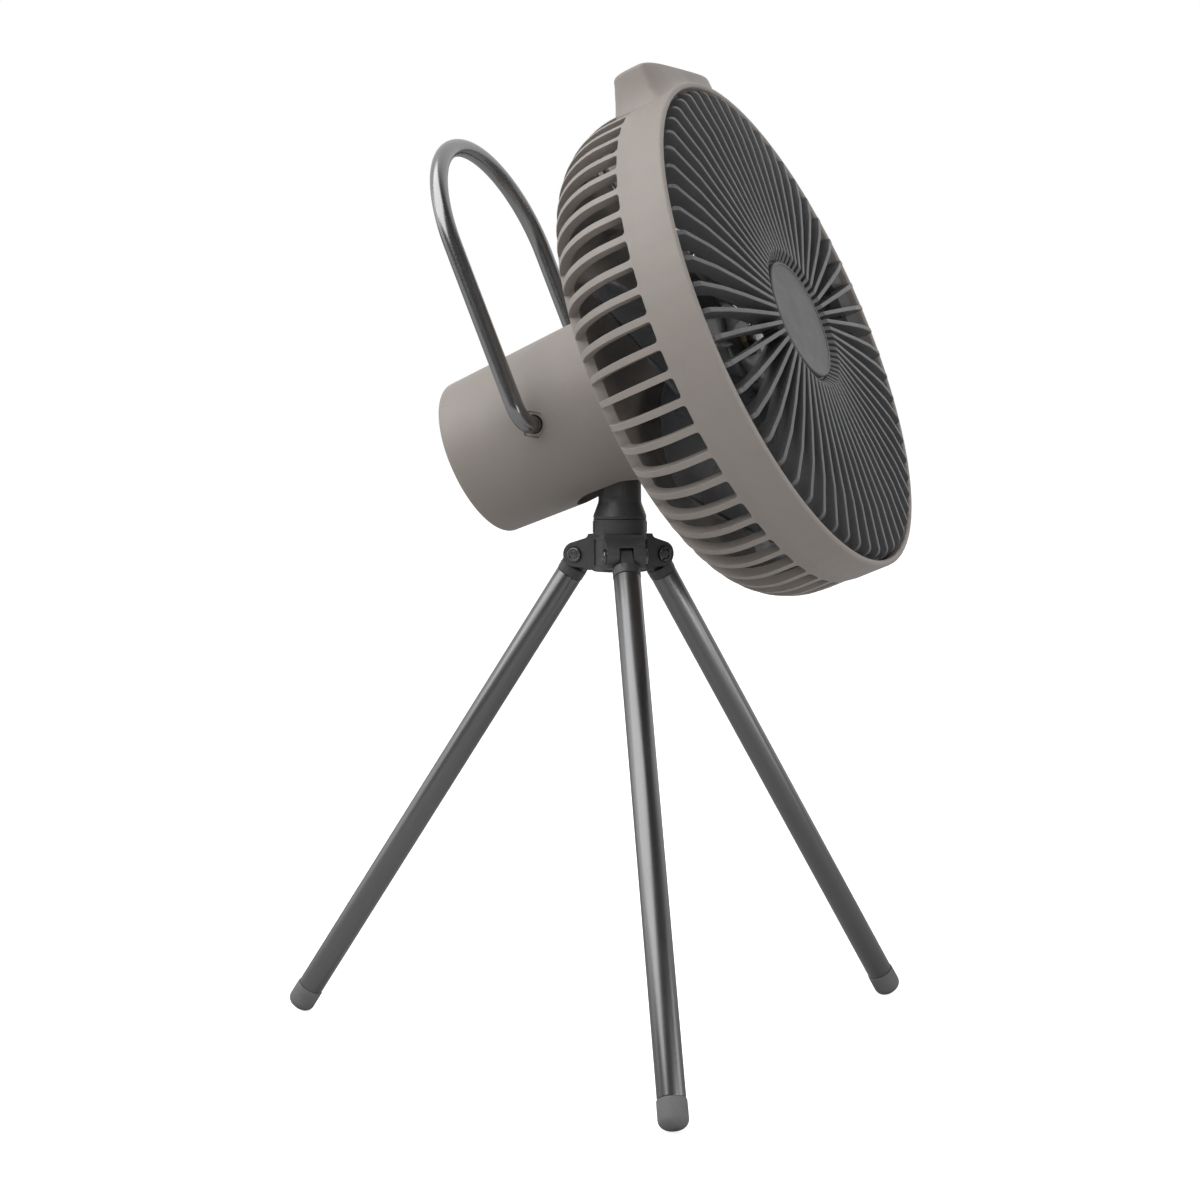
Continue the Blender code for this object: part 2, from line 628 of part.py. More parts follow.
apply_tool(neck, disc(6.2, -6.0, 6.0, 18, on_knuckle), STAND, "UNION")
apply_tool(neck, disc(2.3, -9.0, 9.0, 14, on_knuckle), STAND)

# ---- hub -----------------------------------------------------------------------
hub = solid("tripod_hub", revolve([(5.0, HUB_BOTTOM), (8.8, HUB_BOTTOM), (9.3, HUB_BOTTOM + 0.5), (9.3, 171.4),
                                   (COLLAR_R, 172.4), (COLLAR_R, HUB_TOP), (2.8, HUB_TOP), (2.8, 167.4),
                                   (5.0, 167.4)], 30, on_z), dark, STAND)
CHEEK_OUT = 6.4
CHEEK_IN = 2.35
LUG_R = 4.2


def lug_outline():
    pts = [(6.0, 171.9), (8.9, 171.9), (9.6, 171.0)]
    for k in range(6):
        a = radians(72) - radians(72 + 90) * k / 5
        pts.append((HINGE_R + LUG_R * cos(a), HINGE_Z + LUG_R * sin(a)))
    pts += [(9.75, 160.95), (9.2, HUB_BOTTOM + 0.4), (6.0, HUB_BOTTOM + 0.4)]
    return pts


for j, az in enumerate(LEG_AZIMUTHS):
    turn = STAND @ Matrix.Rotation(radians(az), 4, "Z")
    apply_tool(hub, extrude(lug_outline(), -CHEEK_OUT, CHEEK_OUT, lambda p, q, d: (p, d, q)), turn, "UNION")
for j, az in enumerate(LEG_AZIMUTHS):
    turn = STAND @ Matrix.Rotation(radians(az), 4, "Z")
    apply_tool(hub, box(8.8, 24.0, -CHEEK_IN, CHEEK_IN, 150.0, 169.4), turn)
    apply_tool(hub, revolve([(0, -12.0), (1.8, -12.0), (1.8, 12.0), (0, 12.0)], 12,
                            lambda r, h, a: (HINGE_R + r * cos(a), h, HINGE_Z + r * sin(a))), turn)
solid("swivel_bolt", revolve([(0, 162.9), (4.6, 162.9), (4.6, 166.0), (2.5, 166.0), (2.5, 189.5),
                              (0, 189.5)], 14, on_z), screw_steel, STAND)
solid("swivel_washer", disc(4.7, 166.3, 167.1, 16, on_z, hole=2.8), washer, STAND)

# ---- legs ----------------------------------------------------------------------
alu = material("leg_aluminium", ALU, 0.35, 1.0)
rubber = material("foot_rubber", (0.03, 0.03, 0.032), 0.8)
pin_steel = material("pin_steel", (0.12, 0.12, 0.125), 0.4, 1.0)
COLLAR_END = 8.0
FOOT_LEN = 9.0
TONGUE_HALF = 2.05
TONGUE_R = 3.6
TONGUE = [(-4.2, -5.5), (4.2, -5.5), (4.1, -4.0)] + [
    (TONGUE_R * cos(radians(a)), TONGUE_R * sin(radians(a))) for a in range(-10, 191, 25)] + [(-4.1, -4.0)]
foot_skin = [(0, -LEG_L)]
for a in (90.0, 90.0 - SPLAY, 28.0, 0.0):
    foot_skin.append((FOOT_R - FOOT_FILLET + FOOT_FILLET * cos(radians(a)),
                      FOOT_FILLET - LEG_L - FOOT_FILLET * sin(radians(a))))
foot_skin += [(FOOT_R - 0.15, FOOT_LEN - LEG_L), (3.5, FOOT_LEN - LEG_L), (3.5, FOOT_LEN - LEG_L + 6.0),
              (0, FOOT_LEN - LEG_L + 6.0)]
for j, az in enumerate(LEG_AZIMUTHS):
    n = str(j + 1)
    turn = STAND @ Matrix.Rotation(radians(az), 4, "Z")
    hinge = turn @ Matrix.Translation((HINGE_R * MM, 0, HINGE_Z * MM)) @ Matrix.Rotation(
        -radians(SPLAY), 4, "Y")
    pin_at = turn @ Matrix.Translation((HINGE_R * MM, 0, HINGE_Z * MM))

    def along_pin(r, h, a):
        return (r * cos(a), h, r * sin(a))
    collar = solid("leg_collar_" + n,
                   revolve([(0, -18.0), (3.5, -18.0), (3.5, -COLLAR_END), (4.65, -COLLAR_END), (4.65, -4.6),
                            (0, -4.6)], 20, on_z), dark, hinge)
    apply_tool(collar, extrude(TONGUE, -TONGUE_HALF, TONGUE_HALF, lambda p, q, d: (p, d, q)), hinge, "UNION")
    apply_tool(collar, revolve([(0, -9.0), (1.8, -9.0), (1.8, 9.0), (0, 9.0)], 12, along_pin), hinge)
    solid("leg_tube_" + n, revolve([(3.8, -COLLAR_END - GAP), (TUBE_R, -COLLAR_END - GAP),
                                    (TUBE_R, FOOT_LEN - LEG_L + GAP), (3.8, FOOT_LEN - LEG_L + GAP)],
                                   24, on_z), alu, hinge)
    solid("leg_foot_" + n, revolve(foot_skin, 18, on_z), rubber, hinge)
    solid("leg_pin_" + n, revolve([(0, -7.4), (1.5, -7.4), (1.5, 6.7), (2.4, 6.7), (2.4, 7.2), (2.0, 7.6),
                                   (0, 7.6)], 12, along_pin), pin_steel, pin_at)
    solid("pin_nut_" + n, revolve([(1.8, -7.6), (2.4, -7.6), (2.4, -6.7), (1.8, -6.7)], 12, along_pin),
          pin_steel, pin_at)
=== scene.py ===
"""Looks of the battery table fan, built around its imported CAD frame.

Local meshes are written in millimetres and scaled to metres.  Fan
coordinates are x across, s along the fan axis (front positive) and v up in
the plane of the disc, from the point where the fan axis crosses the stand.
"""
import bpy
import bmesh
from math import sin, cos, tan, asin, atan2, sqrt, radians, pi
from mathutils import Matrix, Vector, Euler


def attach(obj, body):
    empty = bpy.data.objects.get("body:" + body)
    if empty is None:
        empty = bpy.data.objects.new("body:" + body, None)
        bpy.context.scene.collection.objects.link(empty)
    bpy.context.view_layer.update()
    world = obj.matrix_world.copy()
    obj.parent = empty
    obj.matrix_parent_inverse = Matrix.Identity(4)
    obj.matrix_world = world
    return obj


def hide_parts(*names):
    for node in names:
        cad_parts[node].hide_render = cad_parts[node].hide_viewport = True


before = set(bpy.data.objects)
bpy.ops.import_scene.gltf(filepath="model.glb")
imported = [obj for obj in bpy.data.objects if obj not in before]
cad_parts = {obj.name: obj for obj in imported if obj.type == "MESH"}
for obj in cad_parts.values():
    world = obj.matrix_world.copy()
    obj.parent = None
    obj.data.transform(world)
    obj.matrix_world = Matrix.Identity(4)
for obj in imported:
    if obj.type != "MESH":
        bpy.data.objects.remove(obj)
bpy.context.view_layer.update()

MM = 0.001
TILT = 22.5
STAND_Y = -16.98
AXIS_Z = 217.15
PIVOT_DROP = 12.0
STAND = Matrix.Translation((0, STAND_Y * MM, 0))
FAN = Matrix.Translation((0, STAND_Y * MM, AXIS_Z * MM)) @ Matrix.Rotation(-radians(TILT), 4, "X")

# Basket: ring, slats, solid back plate and the pad on top.
RING_R, RING_IN, RING_FRONT, RING_REAR, RING_SEAT = 85.0, 82.8, 65.8, 49.5, 57.0
DRAFT = 0.5
SHOULDER_R, SHOULDER_S = 19.0, 24.0
BACK_S = 18.5
SLAT_N, SLAT_PHASE = 58, 4.65
SLAT_W, SLAT_W_IN, SLAT_DEEP = 2.4, 1.9, 3.5
SLOT_TURN, SLOT_FILLET = 74.0, 1.1
PLATE_T, PLATE_HOLE = 2.5, 8.0
PLATE_RIM_R, PLATE_RIM_T = 51.0, 3.1
PLATE_STEP, STEP_OUT, STEP_IN = 0.5, 52.0, 35.4
PAD_TOP, PAD_HALF, PAD_MID_S = 91.98, 30.6, 56.0
# Grille and impeller.
RIB_N, RIB_PHASE, RIB_W = 58, 1.55, 1.6
GRILLE_OUT, GRILLE_IN = 82.3, 79.2
GRILLE_FRONT, HUB_BACK, SKIRT_S, SKIRT_WALL = 69.9, 65.7, 61.0, 1.6
HUB_R = 20.7
BLADES, BLADE_PHASE, BLADE_SWEEP = 7, 17.0, 24.0
BLADE_ROOT, BLADE_TIP = 14.4, 76.0
CUP_R, CUP_BORE, CUP_REAR, CUP_FRONT, CUP_WEB = 15.5, 13.8, 26.0, 48.0, 2.4
# Barrel, its rear panel and the handle.
BARREL_REAR, BARREL_R_REAR, BARREL_FILLET = -55.0, 27.05, 1.8
BARREL_LIFT = 0.9
BARREL_BORE = 24.7
PANEL_R, PANEL_REAR, PANEL_FRONT = 19.0, -54.6, -52.8
PORT_V, LENS_V = -11.0, 10.5
HANDLE_S, HANDLE_HALF, HANDLE_LEG, ROD_R, BEND = -21.0, 37.4, 63.2, 3.0, 7.0
BUSH_R = 4.6
# Stand: neck, hub and three legs.
HINGE_R, HINGE_Z, SPLAY = 13.8, 165.3, 33.94
LEG_AZIMUTHS = (-150.7, -30.7, 89.3)
TUBE_R, FOOT_R, FOOT_FILLET = 4.5, 4.8, 3.0
HUB_BOTTOM, HUB_TOP = 159.7, 177.3
NECK_R, COLLAR_R, HUB_BODY_R = 7.1, 8.9, 9.3
CHEEK_OUT, CHEEK_IN, LUG_R = 6.4, 2.35, 4.2
PIN_R, PIN_HEAD_R, PIN_BORE, PIN_RECESS = 1.5, 2.45, 1.75, 2.75
LEG_L = FOOT_FILLET + (HINGE_Z - FOOT_FILLET
                       - (FOOT_R - FOOT_FILLET) * sin(radians(SPLAY))) / cos(radians(SPLAY))
COLLAR_END, FOOT_LEN = 8.0, 9.0
GAP = 0.3


# ---- camera ------------------------------------------------------------------
cam = bpy.data.objects.new("camera", bpy.data.cameras.new("camera"))
bpy.context.scene.collection.objects.link(cam)
cam.data.sensor_width = 36.0
cam.data.lens = 87.40
cam.location = (-0.905088, -0.380034, 0.225096)
cam.rotation_euler = Euler((radians(85.5931), radians(0.0514), radians(-67.7548)), "XYZ")
cam.data.clip_start, cam.data.clip_end = 0.05, 50.0
bpy.context.scene.camera = cam


# ---- materials ---------------------------------------------------------------
class Nodes:
    """Small helper that adds nodes to one material."""

    def __init__(self, name):
        self.mat = bpy.data.materials.new(name)
        self.mat.use_nodes = True
        self.tree = self.mat.node_tree
        self.out = self.tree.nodes["Principled BSDF"]
        self.coord = self.add("ShaderNodeTexCoord").outputs["Object"]

    def add(self, kind, **inputs):
        n = self.tree.nodes.new(kind)
        for key, value in inputs.items():
            self.put(n, key.replace("_", " "), value)
        return n

    def put(self, n, key, value):
        if isinstance(value, bpy.types.NodeSocket):
            self.tree.links.new(value, n.inputs[key])
        else:
            n.inputs[key].default_value = value

    def set(self, **inputs):
        for key, value in inputs.items():
            self.put(self.out, key.replace("_", " "), value)

    def noise(self, scale, detail=3.0, rough=0.5, stretch=None, distort=0.0, turn=None):
        """turn is the rotation of the piece whose local axes stretch is given in."""
        at = self.coord
        if stretch:
            m = self.add("ShaderNodeMapping", Vector=self.coord, Scale=[1.0 / k for k in stretch])
            m.vector_type = "TEXTURE"
            if turn:
                m.inputs["Rotation"].default_value = turn
            at = m.outputs["Vector"]
        n = self.add("ShaderNodeTexNoise", Vector=at, Scale=scale, Detail=detail, Roughness=rough,
                     Distortion=distort)
        return n.outputs["Fac"]

    def span(self, value, low, high, from_low=0.3, from_high=0.7):
        m = self.add("ShaderNodeMapRange", Value=value)
        for i, v in ((1, from_low), (2, from_high), (3, low), (4, high)):
            m.inputs[i].default_value = v
        return m.outputs["Result"]

    def mix(self, fac, a, b, kind="MIX"):
        m = self.tree.nodes.new("ShaderNodeMix")
        m.data_type = "RGBA"
        m.blend_type = kind
        for key, value in ((0, fac), (6, a), (7, b)):
            if isinstance(value, bpy.types.NodeSocket):
                self.tree.links.new(value, m.inputs[key])
            else:
                m.inputs[key].default_value = value
        return m.outputs[2]

    def bump(self, height, distance, strength=1.0, below=None):
        b = self.add("ShaderNodeBump", Height=height, Distance=distance, Strength=strength)
        if below:
            self.tree.links.new(below, b.inputs["Normal"])
        return b.outputs["Normal"]

    def pointiness(self):
        return self.add("ShaderNodeNewGeometry").outputs["Pointiness"]


def rgb(c, k=1.0):
    return (c[0] * k, c[1] * k, c[2] * k, 1.0)


def plastic(name, colour, rough=0.5, grain=0.00004, grain_scale=2600.0, blotch=0.06, edge_highlight=0.25,
            spec=0.5, coat=0.0):
    """Moulded plastic: spark-eroded grain, faint mottling, convex edges painted paler as a painted
    highlight.
    """
    n = Nodes(name)
    broad = n.noise(38.0, 4.0, 0.6)
    fine = n.noise(grain_scale, 2.0, 0.6)
    speck = n.noise(grain_scale * 0.32, 3.0, 0.7)
    tone = n.mix(n.span(broad, 0.0, 1.0), rgb(colour, 1 - blotch), rgb(colour, 1 + blotch))
    tone = n.mix(n.span(speck, 0.0, 0.5, 0.45, 0.75), tone, rgb(colour, 1 + 1.6 * blotch))
    # painted highlight: convex edges lightened by pointiness
    edge = n.span(n.pointiness(), 0.0, edge_highlight, 0.52, 0.60)
    tone = n.mix(edge, tone, rgb(colour, 1.45))
    smudge = n.noise(90.0, 5.0, 0.7, distort=0.6)
    n.set(Base_Color=tone, Roughness=n.span(smudge, rough - 0.06, rough + 0.07))
    n.put(n.out, "Specular IOR Level", spec)
    n.put(n.out, "Coat Weight", coat)
    low = n.bump(speck, grain * 1.5, 0.6)
    n.set(Normal=n.bump(fine, grain, 0.8, low))
    return n.mat


def metal(name, colour, rough=0.3, streak=(1.0, 1.0, 0.02), streak_scale=2500.0, depth=0.000012,
          contrast=0.12, edge_highlight=0.2, aniso=0.0, turn=None, cloudy=1.0):
    """Drawn or turned metal: streaks along one axis, handling marks, edges painted brighter as a
    painted highlight.

    cloudy scales the handling marks, and the edge argument scales the painted highlight on the edges.
    """
    n = Nodes(name)
    lines = n.noise(streak_scale, 3.0, 0.6, stretch=streak, turn=turn)
    cloud = n.noise(60.0, 5.0, 0.65, distort=0.4)
    tone = n.mix(n.span(lines, 0.0, 1.0), rgb(colour, 1 - contrast), rgb(colour, 1 + contrast))
    tone = n.mix(n.span(cloud, 0.0, 0.35 * cloudy), tone, rgb(colour, 0.8))
    # painted highlight: convex edges brightened by pointiness
    tone = n.mix(n.span(n.pointiness(), 0.0, edge_highlight, 0.52, 0.60), tone, rgb(colour, 1.5))
    n.set(Base_Color=tone, Metallic=1.0)
    both = n.add("ShaderNodeMath", Value=0.0)
    both.operation = "MULTIPLY_ADD"
    n.tree.links.new(lines, both.inputs[0])
    both.inputs[1].default_value = 0.5
    n.tree.links.new(cloud, both.inputs[2])
    n.set(Roughness=n.span(both.outputs[0], rough * (1 - 0.25 * cloudy), rough * (1 + 0.3 * cloudy),
                           0.45, 1.05))
    n.put(n.out, "Anisotropic", aniso)
    if depth > 0:
        n.set(Normal=n.bump(lines, depth, 0.7))
    return n.mat


def rubber(name, colour):
    n = Nodes(name)
    fine = n.noise(1900.0, 4.0, 0.7)
    dust = n.noise(150.0, 5.0, 0.7, distort=0.8)
    tone = n.mix(n.span(dust, 0.0, 0.55, 0.45, 0.75), rgb(colour), rgb((0.20, 0.19, 0.18)))
    n.set(Base_Color=tone, Roughness=n.span(dust, 0.62, 0.85))
    n.set(Normal=n.bump(fine, 0.00008, 0.8))
    return n.mat


TAUPE = (0.275, 0.246, 0.225)
GUNMETAL = (0.185, 0.185, 0.188)
M = {
    "taupe": plastic("taupe_shell", TAUPE, 0.48, blotch=0.03, edge_highlight=0.18),
    "taupe_button": plastic("taupe_button_skin", TAUPE, 0.42, blotch=0.04, grain=0.00003),
    "charcoal": plastic("charcoal_plastic", (0.052, 0.052, 0.054), 0.42, blotch=0.10, edge_highlight=0.35),
    "grille": plastic("grille_plastic", (0.095, 0.095, 0.098), 0.42, blotch=0.08, edge_highlight=0.25),
    "cap": plastic("cap_plastic", (0.086, 0.086, 0.088), 0.46, blotch=0.07, grain=0.00005),
    "blade": plastic("blade_plastic", (0.080, 0.081, 0.085), 0.30, blotch=0.06, grain=0.00001,
                     coat=0.2),
    "panel": plastic("panel_plastic", (0.045, 0.045, 0.048), 0.33, blotch=0.08, grain=0.00003),
    "steel": metal("polished_steel", (0.27, 0.27, 0.274), 0.24, (1.0, 1.0, 1.0), 900.0, 0.0, 0.02,
                   edge_highlight=0.0, cloudy=0.12),
    "turned": metal("turned_steel", (0.56, 0.56, 0.57), 0.28),
    "screw": metal("screw_steel", (0.34, 0.34, 0.35), 0.32),
    # edges brightened strongly: painted glint on the pin heads and nuts
    "pin": metal("black_pin_steel", (0.16, 0.16, 0.163), 0.30, contrast=0.2, edge_highlight=0.6),
    # colour kept far darker than brass: painted shade on the blade nut inside the hub
    "brass": metal("turned_brass", (0.10, 0.085, 0.06), 0.45),
    "can": metal("rotor_can_steel", (0.42, 0.42, 0.43), 0.30, (0.03, 1.0, 1.0)),
    "copper": metal("wound_copper", (0.50, 0.21, 0.09), 0.38, (1.0, 1.0, 0.15), 1400.0, 0.00012,
                    0.35),
    "alloy": metal("cast_alloy", (0.42, 0.42, 0.43), 0.48, (1.0, 1.0, 1.0), 1200.0, 0.00004),
    "bracket": metal("pressed_steel", (0.30, 0.30, 0.31), 0.40, (0.05, 1.0, 1.0)),
    "rubber": rubber("foot_rubber", (0.135, 0.135, 0.137)),
    "tray": plastic("tray_plastic", (0.22, 0.22, 0.225), 0.55),
    "nylon": plastic("washer_nylon", (0.68, 0.67, 0.63), 0.45, blotch=0.05),
    "wrap": plastic("cell_wrap", (0.02, 0.10, 0.30), 0.28, grain=0.00001, blotch=0.12, coat=0.3),
    "board": plastic("solder_mask", (0.015, 0.13, 0.05), 0.35, blotch=0.20, grain_scale=900.0),
    "dark": plastic("port_cavity", (0.012, 0.012, 0.013), 0.6),
}


def lens_material():
    n = Nodes("lens_acrylic")
    haze = n.noise(420.0, 3.0, 0.6)
    tone = n.mix(n.span(haze, 0.0, 1.0), (0.62, 0.64, 0.62, 1), (0.78, 0.80, 0.78, 1))
    n.set(Base_Color=tone, Roughness=n.span(haze, 0.12, 0.24))
    n.put(n.out, "Transmission Weight", 0.35)
    n.set(Normal=n.bump(haze, 0.00002, 0.5))
    return n.mat


M["lens"] = lens_material()


# ---- mesh helpers ------------------------------------------------------------
def fan(x, s, v):
    return (x, -s, v)


def on_z(r, h, a):
    return (r * cos(a), r * sin(a), h)


def on_fan(r, s, a):
    return (-r * sin(a), -s, r * cos(a))


def rounded(points, steps=5, closed=True):
    """Polyline of (x, y, radius) with its corners turned into arcs."""
    out = []
    n = len(points)
    for i, (x, y, rad) in enumerate(points):
        p = Vector((x, y))
        if rad <= 0 or (not closed and i in (0, n - 1)):
            out.append((x, y))
            continue
        a = Vector(points[i - 1][:2]) - p
        b = Vector(points[(i + 1) % n][:2]) - p
        half = a.angle(b) / 2
        cut = min(rad / tan(half), 0.48 * a.length, 0.48 * b.length)
        rad = cut * tan(half)
        u, w = a.normalized(), b.normalized()
        mid = p + (u + w).normalized() * (rad / sin(half))
        s0, s1 = p + u * cut - mid, p + w * cut - mid
        a0 = atan2(s0.y, s0.x)
        turn = (atan2(s1.y, s1.x) - a0 + pi) % (2 * pi) - pi
        for k in range(steps + 1):
            t = a0 + turn * k / steps
            out.append((mid.x + rad * cos(t), mid.y + rad * sin(t)))
    return out


def spline(points, per=6):
    """Smooth curve through points of any dimension."""
    pts = [Vector(p) for p in points]
    pts = [2 * pts[0] - pts[1]] + pts + [2 * pts[-1] - pts[-2]]
    out = []
    for i in range(1, len(pts) - 2):
        p0, p1, p2, p3 = pts[i - 1:i + 3]
        for k in range(per):
            t = k / per
            square = (2 * p0 - 5 * p1 + 4 * p2 - p3) * t * t
            cube = (3 * p1 - p0 - 3 * p2 + p3) * t ** 3
            out.append(tuple(0.5 * ((2 * p1) + (p2 - p0) * t + square + cube)))
    out.append(tuple(pts[-2]))
    return out


def revolve(profile, n, at, phase=0.0):
    verts, rings = [], []
    for r, h in profile:
        if r < 1e-6:
            rings.append([len(verts)] * n)
            verts.append(at(0.0, h, 0.0))
        else:
            rings.append([len(verts) + k for k in range(n)])
            verts += [at(r, h, phase + 2 * pi * k / n) for k in range(n)]
    faces = []
    pairs = list(zip(rings, rings[1:]))
    if profile[0][0] > 1e-6:
        pairs.append((rings[-1], rings[0]))
    for a, b in pairs:
        for k in range(n):
            q = [a[k], a[(k + 1) % n], b[(k + 1) % n], b[k]]
            f = [v for i, v in enumerate(q) if v not in q[:i]]
            if len(f) > 2:
                faces.append(f)
    return verts, faces


def extrude(outline, a, b, at):
    n = len(outline)
    verts = [at(p, q, a) for p, q in outline] + [at(p, q, b) for p, q in outline]
    faces = [list(range(n)), list(range(2 * n - 1, n - 1, -1))]
    faces += [[k, (k + 1) % n, n + (k + 1) % n, n + k] for k in range(n)]
    return verts, faces


def stadium(cx, cy, half, r, n=12):
    pts = []
    for end, start in ((half, -pi / 2), (-half, pi / 2)):
        for k in range(n + 1):
            a = start + pi * k / n
            pts.append((cx + end + r * cos(a), cy + r * sin(a)))
    return pts


def loft(loops):
    """Closed body over a list of equally long outlines."""
    m = len(loops[0])
    verts = [p for loop in loops for p in loop]
    faces = [list(range(m)), list(range(len(verts) - 1, len(verts) - m - 1, -1))]
    for i in range(len(loops) - 1):
        faces += [[i * m + k, i * m + (k + 1) % m, (i + 1) * m + (k + 1) % m, (i + 1) * m + k]
                  for k in range(m)]
    return verts, faces


def sweep(path, r, n, flat=Vector((0, 1, 0))):
    pts = [Vector(p) for p in path]
    loops = []
    for i, p in enumerate(pts):
        d = (pts[min(i + 1, len(pts) - 1)] - pts[max(i - 1, 0)]).normalized()
        side = d.cross(flat).normalized()
        rad = r(i / (len(pts) - 1)) if callable(r) else r
        loops.append([tuple(p + rad * (cos(2 * pi * k / n) * flat + sin(2 * pi * k / n) * side))
                      for k in range(n)])
    return loft(loops)


def body_mesh(name, shape, place, sharp=32.0):
    verts, faces = shape
    bm = bmesh.new()
    vs = [bm.verts.new(place @ (Vector(v) * MM)) for v in verts]
    for f in faces:
        bm.faces.new([vs[i] for i in f])
    bmesh.ops.recalc_face_normals(bm, faces=bm.faces)
    me = bpy.data.meshes.new(name)
    bm.to_mesh(me)
    bm.free()
    me.shade_smooth()
    me.set_sharp_from_angle(angle=radians(sharp))
    ob = bpy.data.objects.new(name, me)
    bpy.context.scene.collection.objects.link(ob)
    return ob


def settle(ob, sharp=32.0):
    """Bakes the modifiers into the mesh."""
    bpy.context.view_layer.update()
    dg = bpy.context.evaluated_depsgraph_get()
    me = bpy.data.meshes.new_from_object(ob.evaluated_get(dg))
    ob.modifiers.clear()
    ob.data = me
    me.shade_smooth()
    me.set_sharp_from_angle(angle=radians(sharp))


def carve(ob, shape, place, how="DIFFERENCE", sharp=32.0):
    tool = body_mesh(ob.name + "_tool", shape, place)
    m = ob.modifiers.new("carve", "BOOLEAN")
    m.object, m.operation, m.solver = tool, how, "EXACT"
    settle(ob, sharp)
    bpy.data.objects.remove(tool, do_unlink=True)


def soften(ob, width, segments=2, angle=35.0):
    """Rounded edges in the mesh itself."""
    m = ob.modifiers.new("edge", "BEVEL")
    m.width, m.segments = width * MM, segments
    m.limit_method, m.angle_limit = "ANGLE", radians(angle)
    m.harden_normals = True
    m.use_clamp_overlap = True
    m.miter_outer = "MITER_ARC"
    w = ob.modifiers.new("even", "WEIGHTED_NORMAL")
    w.keep_sharp = False


def piece(ob, mat, body, slot, *nodes):
    ob.data.materials.clear()
    ob.data.materials.append(mat)
    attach(ob, body)
    if nodes:
        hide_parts(*nodes)
    return ob


def cage(n, phase, cuts, rim, outer, inner, plate, half_angle):
    """Rim and centre plate joined by n bars, all one closed body.

    rim and plate are loops of (radius, station), outer and inner the two
    edges of a bar; the bar stands on rim[0], rim[-1] and rim[-2] and ends on
    plate[0] and plate[-1].  cuts is the number of steps between two bars.
    """
    verts, index, faces = [], {}, []

    def vid(p, j, m):
        key = (p, j % n, m) if p[0] > 1e-6 else (p, 0, 0)
        if key not in index:
            a0 = radians(phase) + 2 * pi * j / n + half_angle(p)
            a1 = radians(phase) + 2 * pi * (j + 1) / n - half_angle(p)
            index[key] = len(verts)
            verts.append(on_fan(p[0], p[1], a0 + (a1 - a0) * m / cuts))
        return index[key]

    def face(*ids):
        ids = [v for i, v in enumerate(ids) if v not in ids[:i]]
        if len(ids) > 2:
            faces.append(ids)

    for j in range(n):
        for loop in (rim, plate):
            for p, q in zip(loop, loop[1:] + loop[:1]):
                for m in range(cuts):
                    face(vid(p, j, m), vid(q, j, m), vid(q, j, m + 1), vid(p, j, m + 1))
        bar = list(reversed(outer)) + rim[1:-1] + inner + list(reversed(plate[1:-1]))
        for p, q in zip(bar, bar[1:] + bar[:1]):
            face(vid(p, j - 1, cuts), vid(q, j - 1, cuts), vid(q, j, 0), vid(p, j, 0))
        for k, m in ((j - 1, cuts), (j, 0)):
            face(vid(rim[-1], k, m), vid(outer[0], k, m), vid(outer[1], k, m), vid(inner[1], k, m),
                 vid(inner[0], k, m))
            face(vid(rim[-1], k, m), vid(inner[0], k, m), vid(rim[-2], k, m))
            for i in range(1, len(outer) - 1):
                face(vid(outer[i], k, m), vid(outer[i + 1], k, m), vid(inner[i + 1], k, m),
                     vid(inner[i], k, m))
    return verts, faces


# ---- basket ------------------------------------------------------------------
def flare(distance, radius):
    """Extra half width of a bar near its end, for a rounded slot corner."""
    d = min(max(distance, 0.0), radius)
    return radius - sqrt(max(0.0, radius ** 2 - (radius - d) ** 2))


def slat_half(p):
    r, s = p
    t = (min(r, RING_R) - SLOT_R) / (RING_R - SLOT_R)
    w = (SLAT_W_IN + (SLAT_W - SLAT_W_IN) * max(t, 0.0)) / 2
    w += flare(RING_REAR - s, SLOT_FILLET) if s > 40 else 0.0
    return asin(w / max(r, SLOT_R))


rim = [(RING_R - DRAFT, RING_REAR), (RING_R - 0.03, RING_REAR + 3.9), (RING_R, RING_REAR + 4.5),
       (RING_R, RING_SEAT)]
rim += rounded([(RING_R, RING_SEAT, 0), (RING_R, RING_FRONT, 1.05), (RING_IN, RING_FRONT, 0.9),
                (RING_IN, RING_SEAT, 0)], 5, closed=False)[1:-1]
rim += [(RING_IN, RING_REAR + 2.0), (RING_IN, RING_REAR)]
arc_r, arc_s = RING_R - DRAFT - SHOULDER_R, BACK_S + SHOULDER_S
outer = [(RING_R - DRAFT, RING_REAR - d) for d in (0, 0.12, 0.35, 0.7, SLOT_FILLET, 3.5)]
outer.append((RING_R - DRAFT, arc_s))
inner = [(RING_R - SLAT_DEEP, s) for r, s in outer]
ARC = 12
for k in range(1, ARC + 1):
    a = radians(SLOT_TURN) * k / ARC
    outer.append((arc_r + SHOULDER_R * cos(a), arc_s - SHOULDER_S * sin(a)))
    inner.append((arc_r + (SHOULDER_R + DRAFT - SLAT_DEEP) * cos(a),
                  arc_s - (SHOULDER_S - SLAT_DEEP) * sin(a)))
SLOT_R = outer[-1][0]
inner[-1] = (SLOT_R, outer[-1][1] + PLATE_RIM_T + 0.7)
plate = [outer[-1]]
for k in range(1, 5):
    a = radians(SLOT_TURN) + radians(90 - SLOT_TURN) * k / 4
    plate.append((arc_r + SHOULDER_R * cos(a), arc_s - SHOULDER_S * sin(a)))
